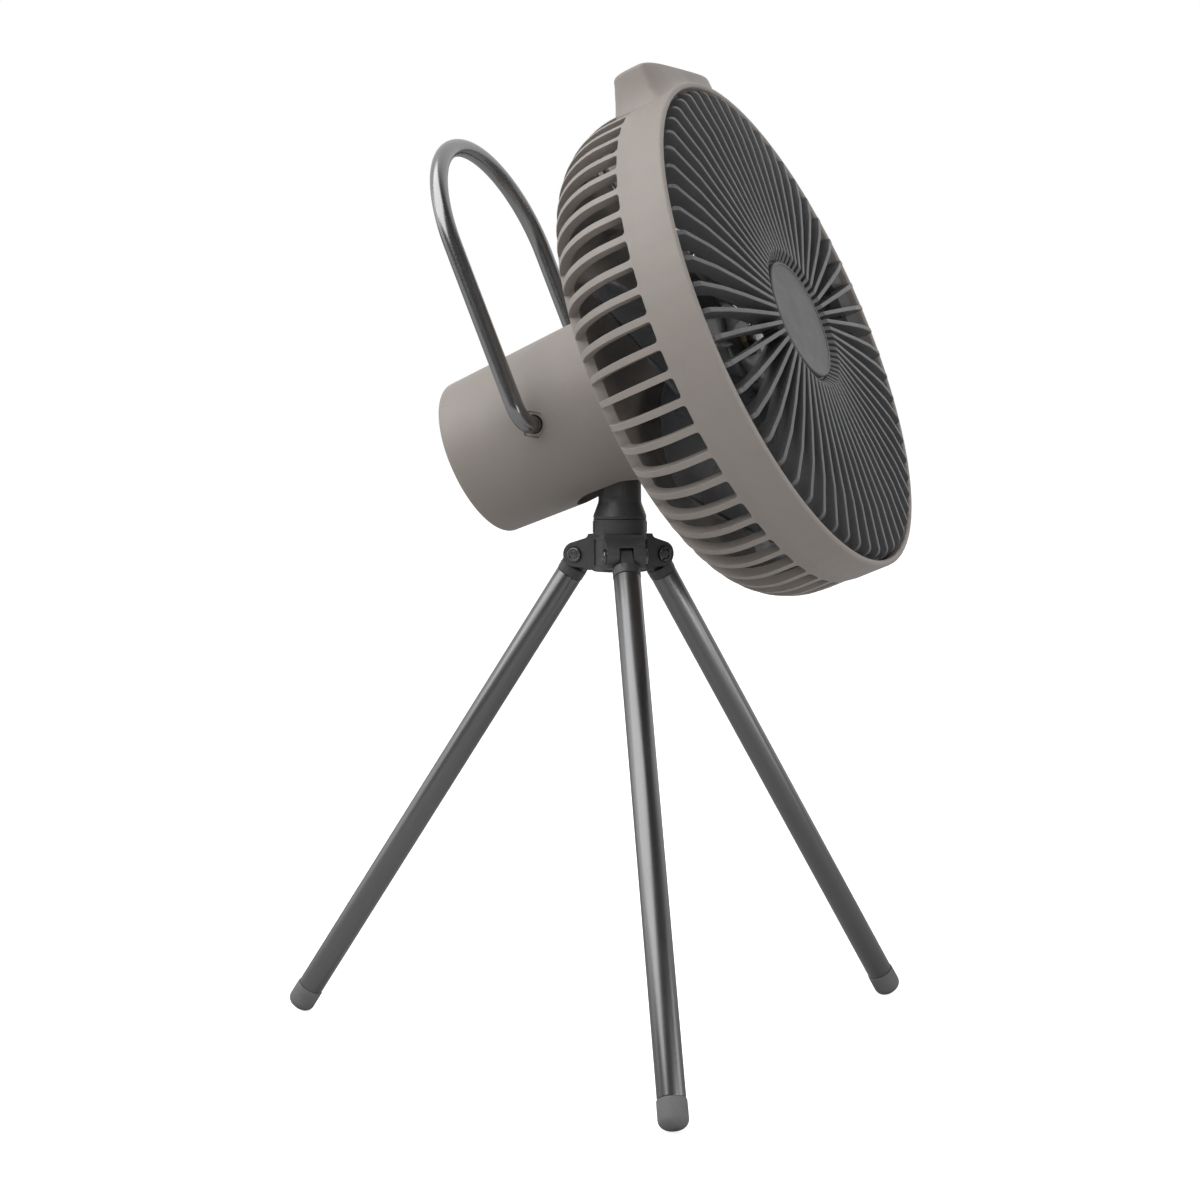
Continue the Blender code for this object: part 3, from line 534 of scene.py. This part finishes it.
plate += [(STEP_OUT, BACK_S), (STEP_OUT - 0.8, BACK_S + PLATE_STEP),
          (STEP_IN + 0.8, BACK_S + PLATE_STEP), (STEP_IN, BACK_S), (PLATE_HOLE, BACK_S),
          (PLATE_HOLE, BACK_S + PLATE_T), (PLATE_RIM_R - 1.0, BACK_S + PLATE_T),
          (PLATE_RIM_R, BACK_S + PLATE_T + 0.1), (PLATE_RIM_R + 0.8, BACK_S + PLATE_RIM_T - 0.1),
          (PLATE_RIM_R + 1.6, BACK_S + PLATE_RIM_T), (65.0, BACK_S + PLATE_RIM_T), inner[-1]]
basket = body_mesh("basket_shell",
                   cage(SLAT_N, SLAT_PHASE, 4, rim, outer, inner, plate, slat_half), FAN)
soften(basket, 0.32, 2)
piece(basket, M["taupe"], "head", "taupe_plastic", "rear_basket")


def pad_loops(steps=40):
    """Raised pad: outlines from just inside the ring up to its flat top.

    Each row holds the share of the rise, the growth at the ends, and the
    reach to the front and to the rear.
    """
    rows = [(-0.10, 2.7, 8.6, 14.5), (0.0, 2.5, 8.5, 14.4), (0.03, 2.2, 8.0, 14.3),
            (0.09, 1.8, 7.4, 14.1), (0.18, 1.25, 6.8, 13.8), (0.32, 0.7, 6.3, 13.3),
            (0.55, 0.2, 6.0, 12.5),
            (0.80, -0.1, 5.8, 11.5), (0.91, -0.25, 5.65, 11.2), (0.965, -0.5, 5.35, 10.9),
            (0.992, -0.9, 4.95, 10.5), (1.0, -1.5, 4.3, 9.8)]
    loops = []
    for rise, grow, front, rear in spline(rows, 3):
        w = PAD_HALF + grow
        loop = []
        for k in range(2 * steps):
            a = 2 * pi * k / (2 * steps)
            c, d = cos(a), sin(a)
            x = w * (abs(c) ** 0.42) * (1 if c > 0 else -1)
            reach, power = (front, 0.5) if d > 0 else (rear, 0.62)
            y = reach * (abs(d) ** power) * (1 if d > 0 else -1)
            base = sqrt((RING_R - 0.05) ** 2 - x * x)
            loop.append(fan(x, PAD_MID_S + y, base + (PAD_TOP - base) * rise))
        loops.append(loop)
    return loops


pad = body_mesh("basket_pad", loft(pad_loops()), FAN, 60)
piece(pad, M["taupe"], "head", "taupe_plastic")

# ---- front grille ------------------------------------------------------------
g_rim = [(82.0, 63.4), (GRILLE_OUT, 62.8), (GRILLE_OUT, RING_SEAT), (GRILLE_IN, RING_SEAT),
         (GRILLE_IN, 60.6)]
front_line = rounded([(82.0, 63.4, 0), (81.0, 67.1, 2.6), (66.0, 68.95, 8.0), (50.0, 69.6, 8.0),
                      (24.0, GRILLE_FRONT, 1.6), (HUB_R + 0.3, 67.6, 0.6), (HUB_R, 66.9, 0)], 5,
                     closed=False)


def grille_inner(r):
    """Rear edge of a rib under the point of its front edge at radius r."""
    t = (r - HUB_R) / (GRILLE_OUT - HUB_R)
    if r > 76.5:
        return (min(r - 1.9, 77.6) if r > 79.5 else r - 1.9 + (79.5 - r) * 0.63,
                RING_SEAT + (81.9 - r) / 5.4 * 5.2)
    if r > 40:
        return (r, GRILLE_FRONT - 3.6 - 2.1 * min(1.0, t * 3))
    return (r, SKIRT_S + (r - HUB_R) * 0.06)


g_outer = front_line[:1]
for before, p in zip(front_line, front_line[1:]):
    if (Vector(p) - Vector(before)).length > 1e-4:
        g_outer.append(p)
g_inner = [grille_inner(r) for r, _ in g_outer]
g_inner[0] = (GRILLE_IN - 1.0, RING_SEAT)
g_inner[-1] = (HUB_R, SKIRT_S)
g_plate = [g_outer[-1], (0.0, g_outer[-1][1]), (0.0, HUB_BACK), (HUB_R - SKIRT_WALL, HUB_BACK),
           (HUB_R - SKIRT_WALL, SKIRT_S), (HUB_R, SKIRT_S)]


def rib_half(p):
    r = p[0]
    w = RIB_W / 2 * (0.86 + 0.14 * (r - HUB_R) / 60)
    return asin(w / max(r, HUB_R))


grille = body_mesh("grille_front",
                   cage(RIB_N, RIB_PHASE, 2, g_rim, g_outer, g_inner, g_plate, rib_half), FAN)
soften(grille, 0.42, 3, 38)
piece(grille, M["grille"], "head", "grille_plastic", "front_grille")
cap_line = rounded([(0, 66.6, 0), (HUB_R - 0.5, 66.6, 0), (HUB_R - 0.5, 68.9, 0.5),
                    (HUB_R - 1.5, 68.95, 0.3), (HUB_R - 1.9, 68.65, 0.3), (12.0, 68.8, 0),
                    (0, 68.95, 0)], 4, closed=False)
cap = body_mesh("grille_badge_blank", revolve(cap_line, 96, on_fan), FAN)
piece(cap, M["cap"], "head", "cap_plastic", "grille_cap")

# ---- impeller ----------------------------------------------------------------

def blade_shape(j, radial=14, across=14):
    loops = []
    for i in range(radial + 1):
        t = i / radial
        r = BLADE_ROOT + (BLADE_TIP - BLADE_ROOT) * t
        turn = 2 * pi * j / BLADES + radians(BLADE_PHASE) + radians(BLADE_SWEEP) * t ** 1.3
        tip = max(0.0, (t - 0.86) / 0.14)
        span = radians(25 - 1.5 * t) * (1 - 0.14 * tip ** 2)
        front, back = [], []
        for k in range(across + 1):
            u = -cos(pi * k / across)
            s = 38.0 + 2.0 * t + (10.5 - 1.5 * t) * u + 2.0 * (1 - u * u)
            thick = (0.95 * sqrt(max(0.0, 1 - u * u)) + 0.12) * (1 - 0.35 * t)
            front.append(on_fan(r, s + thick, turn + span * u))
            back.append(on_fan(r, s - thick, turn + span * u))
        loops.append(front + back[::-1])
    return loft(loops)


cup_line = rounded([(1.8, CUP_FRONT, 0.3), (CUP_R, CUP_FRONT, 2.4), (CUP_R, CUP_REAR, 0.4),
                    (CUP_BORE, CUP_REAR, 0.4), (CUP_BORE, CUP_FRONT - CUP_WEB, 1.0),
                    (1.8, CUP_FRONT - CUP_WEB, 0.3)], 6)
rotor = body_mesh("impeller", revolve(cup_line, 72, on_fan), FAN)
for j in range(BLADES):
    carve(rotor, blade_shape(j), FAN, "UNION", 40)
piece(rotor, M["blade"], "impeller", "blade_plastic", "fan_blade")

# ---- barrel ------------------------------------------------------------------
skin = spline([(33.8, 18.2), (31.6, 14.6), (30.2, 9.5), (29.15, 2.0), (28.55, -14.0),
               (27.95, -30.0), (27.3, -48.0)], 4)
skin = [(r, s, 0) for r, s in skin] + [(BARREL_R_REAR, BARREL_REAR, BARREL_FILLET)]


def on_barrel(r, s, a):
    """Fan coordinates with the outer skin lifted off the bore's axis."""
    x, y, v = on_fan(r, s, a)
    return (x, y, v + (BARREL_LIFT if r > BARREL_BORE + 0.4 else 0.0))


barrel_line = rounded(skin + [(PANEL_R + GAP, BARREL_REAR, 0.5),
                              (PANEL_R + GAP, BARREL_REAR + 2.6, 0), (BARREL_BORE, -46.0, 0),
                              (BARREL_BORE, 16.3, 0), (9.0, 16.3, 0), (9.0, 18.2, 0)], 8)
barrel = body_mesh("barrel_shell", revolve(barrel_line, 128, on_barrel), FAN)
SLOT_HALF, SLOT_REAR, SLOT_FRONT, SLOT_END = NECK_R + 1.9, -27.0, -1.9, 6.6
slot = []
for k in range(25):
    a = pi / 2 + pi * k / 24
    slot.append((SLOT_REAR + SLOT_HALF + SLOT_HALF * cos(a), SLOT_HALF * sin(a)))
for k in range(25):
    a = -pi / 2 + pi * k / 24
    slot.append((SLOT_FRONT - SLOT_END + SLOT_END * cos(a), SLOT_HALF * sin(a)))
carve(barrel, extrude(slot, -36.0, -17.0, lambda p, q, d: fan(q, p, d)), FAN)


def hexagon(r, fillet=0.5):
    return rounded([(r * cos(pi / 3 * k), r * sin(pi / 3 * k), fillet) for k in range(6)], 3)


for side in (-1, 1):
    carve(barrel, extrude(hexagon(BUSH_R + 0.22), side * 20.0, side * 34.0,
                          lambda p, q, d: fan(d, HANDLE_S + q, p)), FAN)
soften(barrel, 0.3, 2, 50)
piece(barrel, M["taupe"], "head", "taupe_plastic", "rear_barrel")

bush_line = [(r - 0.45, s) for r, s in barrel_line if r > 24.9 and -45 < s < 10]
bush_line += [(24.9, bush_line[-1][1]), (24.9, bush_line[0][1])]
for name, side in (("l", -1), ("r", 1)):
    bush = body_mesh("handle_socket_" + name, revolve(bush_line, 128, on_barrel), FAN)
    carve(bush, extrude(hexagon(BUSH_R), side * 20.0, side * 36.0,
                        lambda p, q, d: fan(d, HANDLE_S + q, p)), FAN, "INTERSECT")
    hole = [(0, side * 20.0), (ROD_R + 0.22, side * 20.0), (ROD_R + 0.22, side * 27.6),
            (ROD_R + 0.6, side * 28.2), (ROD_R + 0.6, side * 32.0), (0, side * 32.0)]
    carve(bush, revolve(hole, 40, lambda r, h, a: fan(h, HANDLE_S + r * cos(a), r * sin(a))), FAN)
    piece(bush, M["taupe"], "head", "charcoal_plastic", "handle_bush_" + name)

# ---- rear panel, button, lens, port --------------------------------------------
P0, P1 = PANEL_REAR, PANEL_FRONT
panel_line = rounded([(5.8, P0, 0.35), (7.4, P0, 0.2), (8.0, P0 + 0.25, 0.3),
                      (8.8, P0 + 0.25, 0.3), (9.4, P0, 0.3), (PANEL_R, P0, 0.5), (PANEL_R, P1, 0),
                      (5.8, P1, 0)], 4)
panel = body_mesh("panel_rear", revolve(panel_line, 96, on_fan), FAN)
for v, half, r in ((LENS_V, 5.2, 1.5), (PORT_V, 3.0, 1.9)):
    carve(panel, extrude(stadium(0, v, half, r), P0 - 2, P1 + 2, lambda p, q, d: fan(p, d, q)), FAN)
soften(panel, 0.18, 2, 50)
piece(panel, M["panel"], "head", "panel_plastic", "rear_panel")
button_line = rounded([(0, -54.75, 0), (2.6, -54.85, 0), (4.6, -55.2, 0.4), (5.5, -55.15, 0.5),
                       (5.5, -52.5, 0.2), (6.7, -52.5, 0.1), (6.7, -51.9, 0), (0, -51.9, 0)], 4,
                      closed=False)
button = body_mesh("button_power", revolve(button_line, 64, on_fan), FAN, 50)
piece(button, M["taupe_button"], "button", "button_plastic", "power_button")
lens_loops = []
for r, s in ((1.2, P1), (1.2, P0 + 0.25), (1.12, P0 + 0.08), (0.9, P0 - 0.05), (0.5, P0 - 0.12)):
    lens_loops.append([fan(p, s, q) for p, q in stadium(0, LENS_V, 5.2, r)])
lens = body_mesh("level_window", loft(lens_loops), FAN, 60)
piece(lens, M["lens"], "head", "lens_clear", "level_lens")
shell = body_mesh("port_shell", extrude(stadium(0, PORT_V, 3.0, 1.6), P0 + 0.2, -51.2,
                                        lambda p, q, d: fan(p, d, q)), FAN)
carve(shell, extrude(stadium(0, PORT_V, 2.9, 1.25), P0 - 1, -51.9, lambda p, q, d: fan(p, d, q)),
      FAN)
soften(shell, 0.1, 2, 50)
piece(shell, M["turned"], "head", "turned_steel", "charge_port")
blade_line = rounded([(-2.6, -0.35, 0.2), (2.6, -0.35, 0.2), (2.6, 0.35, 0.2), (-2.6, 0.35, 0.2)], 3)
tongue = body_mesh("port_tongue",
                   extrude(blade_line, P0 + 0.9, -51.8, lambda p, q, d: fan(p, d, PORT_V + q)), FAN)
piece(tongue, M["dark"], "head", "panel_plastic")

# ---- handle --------------------------------------------------------------------
line = [(-25.2, 0.0), (-28.0, 0.0)]
for k in range(0, 11):
    a = pi / 2 * k / 10
    line.append((-HANDLE_HALF + BEND - BEND * sin(a), BEND - BEND * cos(a)))
line += [(-HANDLE_HALF, v) for v in (15.0, 25.0, 36.0, 47.0, 56.0)]
for k in range(0, 49):
    a = pi * k / 48
    line.append((-HANDLE_HALF * cos(a), HANDLE_LEG + HANDLE_HALF * sin(a)))
line += [(-x, v) for x, v in reversed(line[:18])]
handle = body_mesh("handle_bail", sweep([fan(x, HANDLE_S, v) for x, v in line], ROD_R, 36), FAN)
piece(handle, M["steel"], "handle", "handle_steel", "carry_handle")

# ---- neck ----------------------------------------------------------------------
PIVOT_Z = AXIS_Z - PIVOT_DROP
neck_line = rounded([(2.8, HUB_TOP + 0.18, 0), (COLLAR_R, HUB_TOP + 0.18, 0.12),
                     (COLLAR_R, HUB_TOP + 1.1, 0.8), (NECK_R + 0.1, 182.9, 3.0),
                     (NECK_R, 191.6, 1.0), (5.6, 192.6, 0.3), (2.8, 192.6, 0)], 6)
neck = body_mesh("neck_stem", revolve(neck_line, 72, on_z), STAND)


def on_knuckle(r, h, a):
    return (h, r * cos(a), PIVOT_Z + r * sin(a))


for side in (-1, 1):
    flat_cut = rounded([(-4.5, 184.4, 2.6), (4.5, 184.4, 2.6), (4.5, 200.0, 0), (-4.5, 200.0, 0)], 8)
    carve(neck, extrude(flat_cut, side * 6.5, side * 9.0, lambda p, q, d: (d, p, q)), STAND)
stem = [(-5.9, -4.6), (5.9, -4.6), (5.9, 4.6), (-5.9, 4.6)]
carve(neck, extrude(stem, 190.4, PIVOT_Z, lambda p, q, d: (p, q, d)), STAND, "UNION")
carve(neck, revolve([(0, -6.0), (6.2, -6.0), (6.2, 6.0), (0, 6.0)], 48, on_knuckle), STAND,
      "UNION")
carve(neck, revolve([(0, -9.0), (2.3, -9.0), (2.3, 9.0), (0, 9.0)], 32, on_knuckle), STAND)
soften(neck, 0.3, 2, 50)
piece(neck, M["charcoal"], "neck", "charcoal_plastic", "neck_post")

# ---- hub -----------------------------------------------------------------------
hub_line = rounded([(5.0, HUB_BOTTOM, 0.2), (HUB_BODY_R, HUB_BOTTOM, 0.6),
                    (HUB_BODY_R, 171.2, 0.6), (COLLAR_R, 172.2, 0.6), (COLLAR_R, HUB_TOP, 0.12),
                    (2.8, HUB_TOP, 0.1), (2.8, 167.4, 0), (5.0, 167.4, 0)], 4)
hub = body_mesh("hub_block", revolve(hub_line, 96, on_z), STAND)
lug = [(6.0, 172.3), (8.95, 172.3), (9.05, 171.75), (9.35, 171.3), (9.9, 170.9)]
for k in range(13):
    a = radians(72) - radians(72 + 90) * k / 12
    lug.append((HINGE_R + LUG_R * cos(a), HINGE_Z + LUG_R * sin(a)))
lug += [(9.75, 160.95), (HUB_BODY_R, HUB_BOTTOM + 0.5), (6.0, HUB_BOTTOM + 0.5)]
turns = [STAND @ Matrix.Rotation(radians(az), 4, "Z") for az in LEG_AZIMUTHS]


def ring_pad(r0, r1, half_deg, z0, z1, n=14):
    """Block bent round the hub, for a raised panel."""
    arc = [radians(-half_deg + 2 * half_deg * k / n) for k in range(n + 1)]
    outline = [(r1 * cos(a), r1 * sin(a)) for a in arc]
    outline += [(r0 * cos(a), r0 * sin(a)) for a in reversed(arc)]
    return extrude(outline, z0, z1, lambda p, q, d: (p, q, d))


def at_hinge(r, h, a):
    """A point round a leg's hinge axis, in the hub's frame turned to that leg."""
    return (HINGE_R + r * cos(a), h, HINGE_Z + r * sin(a))


for turn in turns:
    carve(hub, extrude(lug, -CHEEK_OUT, CHEEK_OUT, lambda p, q, d: (p, d, q)), turn, "UNION")
    carve(hub, ring_pad(7.0, 9.12, 39.0, 172.7, 176.4), turn, "UNION")
for turn in turns:
    slot = [(8.8, 150.0), (24.0, 150.0), (24.0, 168.35), (8.8, 168.35)]
    carve(hub, extrude(slot, -CHEEK_IN, CHEEK_IN, lambda p, q, d: (p, d, q)), turn)
    bore = [(0, -12.0), (PIN_BORE, -12.0), (PIN_BORE, 12.0), (0, 12.0)]
    carve(hub, revolve(bore, 24, at_hinge), turn)
    for side in (-1, 1):
        recess = [(0, side * 6.15), (PIN_RECESS, side * 6.15), (PIN_RECESS, side * 9), (0, side * 9)]
        carve(hub, revolve(recess, 40, at_hinge), turn)
    opposite = turn @ Matrix.Rotation(pi, 4, "Z")
    window = rounded([(-2.3, 161.6, 0.5), (2.3, 161.6, 0.5), (2.3, 170.6, 0.5), (-2.3, 170.6, 0.5)], 4)
    carve(hub, extrude(window, 8.6, 12.0, lambda p, q, d: (d, p, q)), opposite)
soften(hub, 0.28, 2, 40)
piece(hub, M["charcoal"], "stand", "charcoal_plastic", "tripod_hub")

# ---- legs ----------------------------------------------------------------------
foot_pts = [(0.0, -LEG_L)]
for k in range(9):
    a = radians(90 - 90 * k / 8)
    foot_pts.append((FOOT_R - FOOT_FILLET + FOOT_FILLET * cos(a),
                     FOOT_FILLET - LEG_L - FOOT_FILLET * sin(a)))
top = FOOT_LEN - LEG_L
foot_pts += rounded([(FOOT_R, top - 3.2, 0), (FOOT_R - 0.05, top, 0.3), (3.9, top, 0),
                     (3.5, top + 6.0, 0), (0, top + 6.0, 0)], 3, closed=False)
tube_line = rounded([(3.8, -COLLAR_END - 0.15, 0), (TUBE_R, -COLLAR_END - 0.15, 0.15),
                     (TUBE_R, top + 0.15, 0.15), (3.8, top + 0.15, 0)], 2)


def on_pin(r, h, a):
    return (r * cos(a), h, r * sin(a))


def fitting(name, place):
    """Leg end: socket for the tube and the tongue that turns on the pin."""
    line = rounded([(0, -18.0, 0), (3.6, -18.0, 0.3), (3.6, -COLLAR_END, 0),
                    (4.65, -COLLAR_END, 0.2), (4.65, -4.6, 0.35), (0, -4.6, 0)], 3, closed=False)
    ob = body_mesh(name, revolve(line, 64, on_z), place)
    side = [(-4.3, -6.0), (4.3, -6.0), (4.1, -4.0)]
    side += [(2.95 * cos(radians(a)), 2.95 * sin(radians(a))) for a in range(-10, 191, 10)]
    side += [(-4.1, -4.0)]
    carve(ob, extrude(side, -2.05, 2.05, lambda p, q, d: (p, d, q)), place, "UNION")
    carve(ob, revolve([(0, -9.0), (PIN_BORE, -9.0), (PIN_BORE, 9.0), (0, 9.0)], 24, on_pin), place)
    return ob


pin_line = rounded([(0, -7.25, 0), (1.0, -7.25, 0), (PIN_R, -7.25, 0.25), (PIN_R, 6.55, 0),
                    (PIN_HEAD_R, 6.55, 0.1), (PIN_HEAD_R, 7.35, 0.35), (1.85, 7.45, 0.15),
                    (1.65, 7.15, 0.15), (1.35, 7.15, 0.1), (1.2, 7.35, 0.1), (0, 7.4, 0)], 3,
                   closed=False)
nut_line = rounded([(1.7, -7.45, 0.1), (PIN_HEAD_R, -7.45, 0.35), (PIN_HEAD_R, -6.3, 0.1),
                    (1.7, -6.3, 0)], 3)
for j, turn in enumerate(turns):
    n, leg = str(j + 1), "leg_" + str(j + 1)
    pin_at = turn @ Matrix.Translation((HINGE_R * MM, 0, HINGE_Z * MM))
    hinge = pin_at @ Matrix.Rotation(-radians(SPLAY), 4, "Y")
    end = fitting("leg_fitting_" + n, hinge)
    soften(end, 0.25, 2, 45)
    piece(end, M["charcoal"], leg, "charcoal_plastic", "leg_collar_" + n)
    tube = body_mesh("leg_rod_" + n, revolve(tube_line, 64, on_z), hinge)
    skin = metal("gunmetal_tube_" + n, GUNMETAL, 0.30, (1.0, 1.0, 0.012), 3000.0, 0.000002, 0.05,
                 edge_highlight=0.0, cloudy=0.4, turn=hinge.to_euler())
    piece(tube, skin, leg, "leg_aluminium", "leg_tube_" + n)
    foot = body_mesh("leg_boot_" + n, revolve(foot_pts, 64, on_z), hinge, 40)
    piece(foot, M["rubber"], leg, "foot_rubber", "leg_foot_" + n)
    pin = body_mesh("hinge_pin_" + n, revolve(pin_line, 40, on_pin), pin_at)
    piece(pin, M["pin"], "stand", "pin_steel", "leg_pin_" + n)
    nut = body_mesh("hinge_nut_" + n, revolve(nut_line, 40, on_pin), pin_at)
    for k in range(3):
        a = pi * k / 3
        bar = [(-4, -0.35), (4, -0.35), (4, 0.35), (-4, 0.35)]
        turned_bar = [(p * cos(a) - q * sin(a), p * sin(a) + q * cos(a)) for p, q in bar]
        carve(nut, extrude(turned_bar, -8.0, -7.0, lambda p, q, d: (p, d, q)), pin_at)
    soften(nut, 0.08, 2, 45)
    piece(nut, M["pin"], "stand", "pin_steel", "pin_nut_" + n)

# ---- carried-over parts ----------------------------------------------------------
CARRIED = {
    "blade_nut": "brass", "motor_shaft": "turned", "motor_rotor": "can", "motor_stator": "copper",
    "motor_base": "alloy", "bearing_rear": "turned", "bearing_front": "turned",
    "barrel_screw_1": "screw", "barrel_screw_2": "screw", "barrel_screw_3": "screw",
    "control_board": "board", "battery_cell_a": "wrap", "battery_cell_b": "wrap",
    "battery_tray": "tray", "tilt_bracket": "bracket", "tilt_axle": "turned", "tilt_nut": "turned",
    "friction_washer_l": "nylon", "friction_washer_r": "nylon", "swivel_bolt": "screw",
    "swivel_washer": "nylon",
}
for node, key in CARRIED.items():
    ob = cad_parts[node]
    ob.data.materials.clear()
    ob.data.materials.append(M[key])
    for poly in ob.data.polygons:
        poly.material_index = 0
    ob.data.shade_smooth()
    ob.data.set_sharp_from_angle(angle=radians(35))
    m = ob.modifiers.new("edge", "BEVEL")
    m.width, m.segments = 0.15 * MM, 2
    m.limit_method, m.angle_limit = "ANGLE", radians(40)

# ---- floor, world and lights -------------------------------------------------------
FLOOR_HALF, FLOOR_Z = 6000, -0.1
corners = [(x * FLOOR_HALF, y * FLOOR_HALF, FLOOR_Z) for x, y in ((-1, -1), (1, -1), (1, 1), (-1, 1))]
floor = body_mesh("floor", (corners, [[0, 1, 2, 3]]), Matrix.Identity(4))
paper = Nodes("pale_floor")
paper.set(Roughness=0.8)
paper.set(Normal=paper.bump(paper.noise(900.0), 0.00002, 0.3))
paper.put(paper.out, "Specular IOR Level", 0.1)
seen = paper.add("ShaderNodeLightPath").outputs["Is Camera Ray"]
paper.set(Base_Color=paper.mix(seen, (0.45, 0.45, 0.45, 1), (0.86, 0.86, 0.86, 1)),
          Emission_Color=(1, 1, 1, 1), Emission_Strength=paper.span(seen, 0.0, 0.75, 0.0, 1.0))
floor.data.materials.append(paper.mat)

world = bpy.data.worlds.new("studio")
bpy.context.scene.world = world
world.use_nodes = True
wt = world.node_tree
background = wt.nodes["Background"]
path = wt.nodes.new("ShaderNodeLightPath")
coord = wt.nodes.new("ShaderNodeTexCoord")
BEHIND = (0.90, 0.37, 0.22)
lean = wt.nodes.new("ShaderNodeVectorMath")
lean.operation = "DOT_PRODUCT"
wt.links.new(coord.outputs["Generated"], lean.inputs[0])
lean.inputs[1].default_value = BEHIND
ramp = wt.nodes.new("ShaderNodeValToRGB")
wt.links.new(lean.outputs["Value"], ramp.inputs[0])
ramp.color_ramp.interpolation = "EASE"
ramp.color_ramp.elements[0].position = 0.02
ramp.color_ramp.elements[0].color = (0.10, 0.10, 0.10, 1)
ramp.color_ramp.elements[1].position = 0.55
ramp.color_ramp.elements[1].color = (0.85, 0.85, 0.85, 1)
white = wt.nodes.new("ShaderNodeMix")
white.data_type = "RGBA"
wt.links.new(path.outputs["Is Camera Ray"], white.inputs[0])
wt.links.new(ramp.outputs[0], white.inputs[6])
white.inputs[7].default_value = (1.0, 1.0, 1.0, 1)
wt.links.new(white.outputs[2], background.inputs[0])
background.inputs[1].default_value = 1.0


def softbox(name, where, target, size, power, colour=(1, 1, 1)):
    data = bpy.data.lights.new(name, "AREA")
    data.shape, data.size, data.size_y = "RECTANGLE", size[0], size[1]
    data.energy, data.color = power, colour
    ob = bpy.data.objects.new(name, data)
    bpy.context.scene.collection.objects.link(ob)
    ob.location = where
    ob.rotation_euler = (Vector(target) - Vector(where)).to_track_quat("-Z", "Y").to_euler()
    ob.visible_camera = False
    return ob


softbox("key", (-0.85, 0.72, 1.50), (0, 0, 0.2), (2.2, 2.2), 40.0)
softbox("side", (-0.95, -1.75, 0.40), (0, 0, 0.15), (1.3, 0.7), 13.0)
softbox("left", (-0.45, 1.7, 0.50), (0, 0, 0.15), (1.3, 0.9), 3.5)
softbox("far", (0.35, -1.90, 0.30), (0, 0, 0.12), (0.9, 0.9), 5.0)
bpy.context.scene.view_settings.view_transform = "Standard"
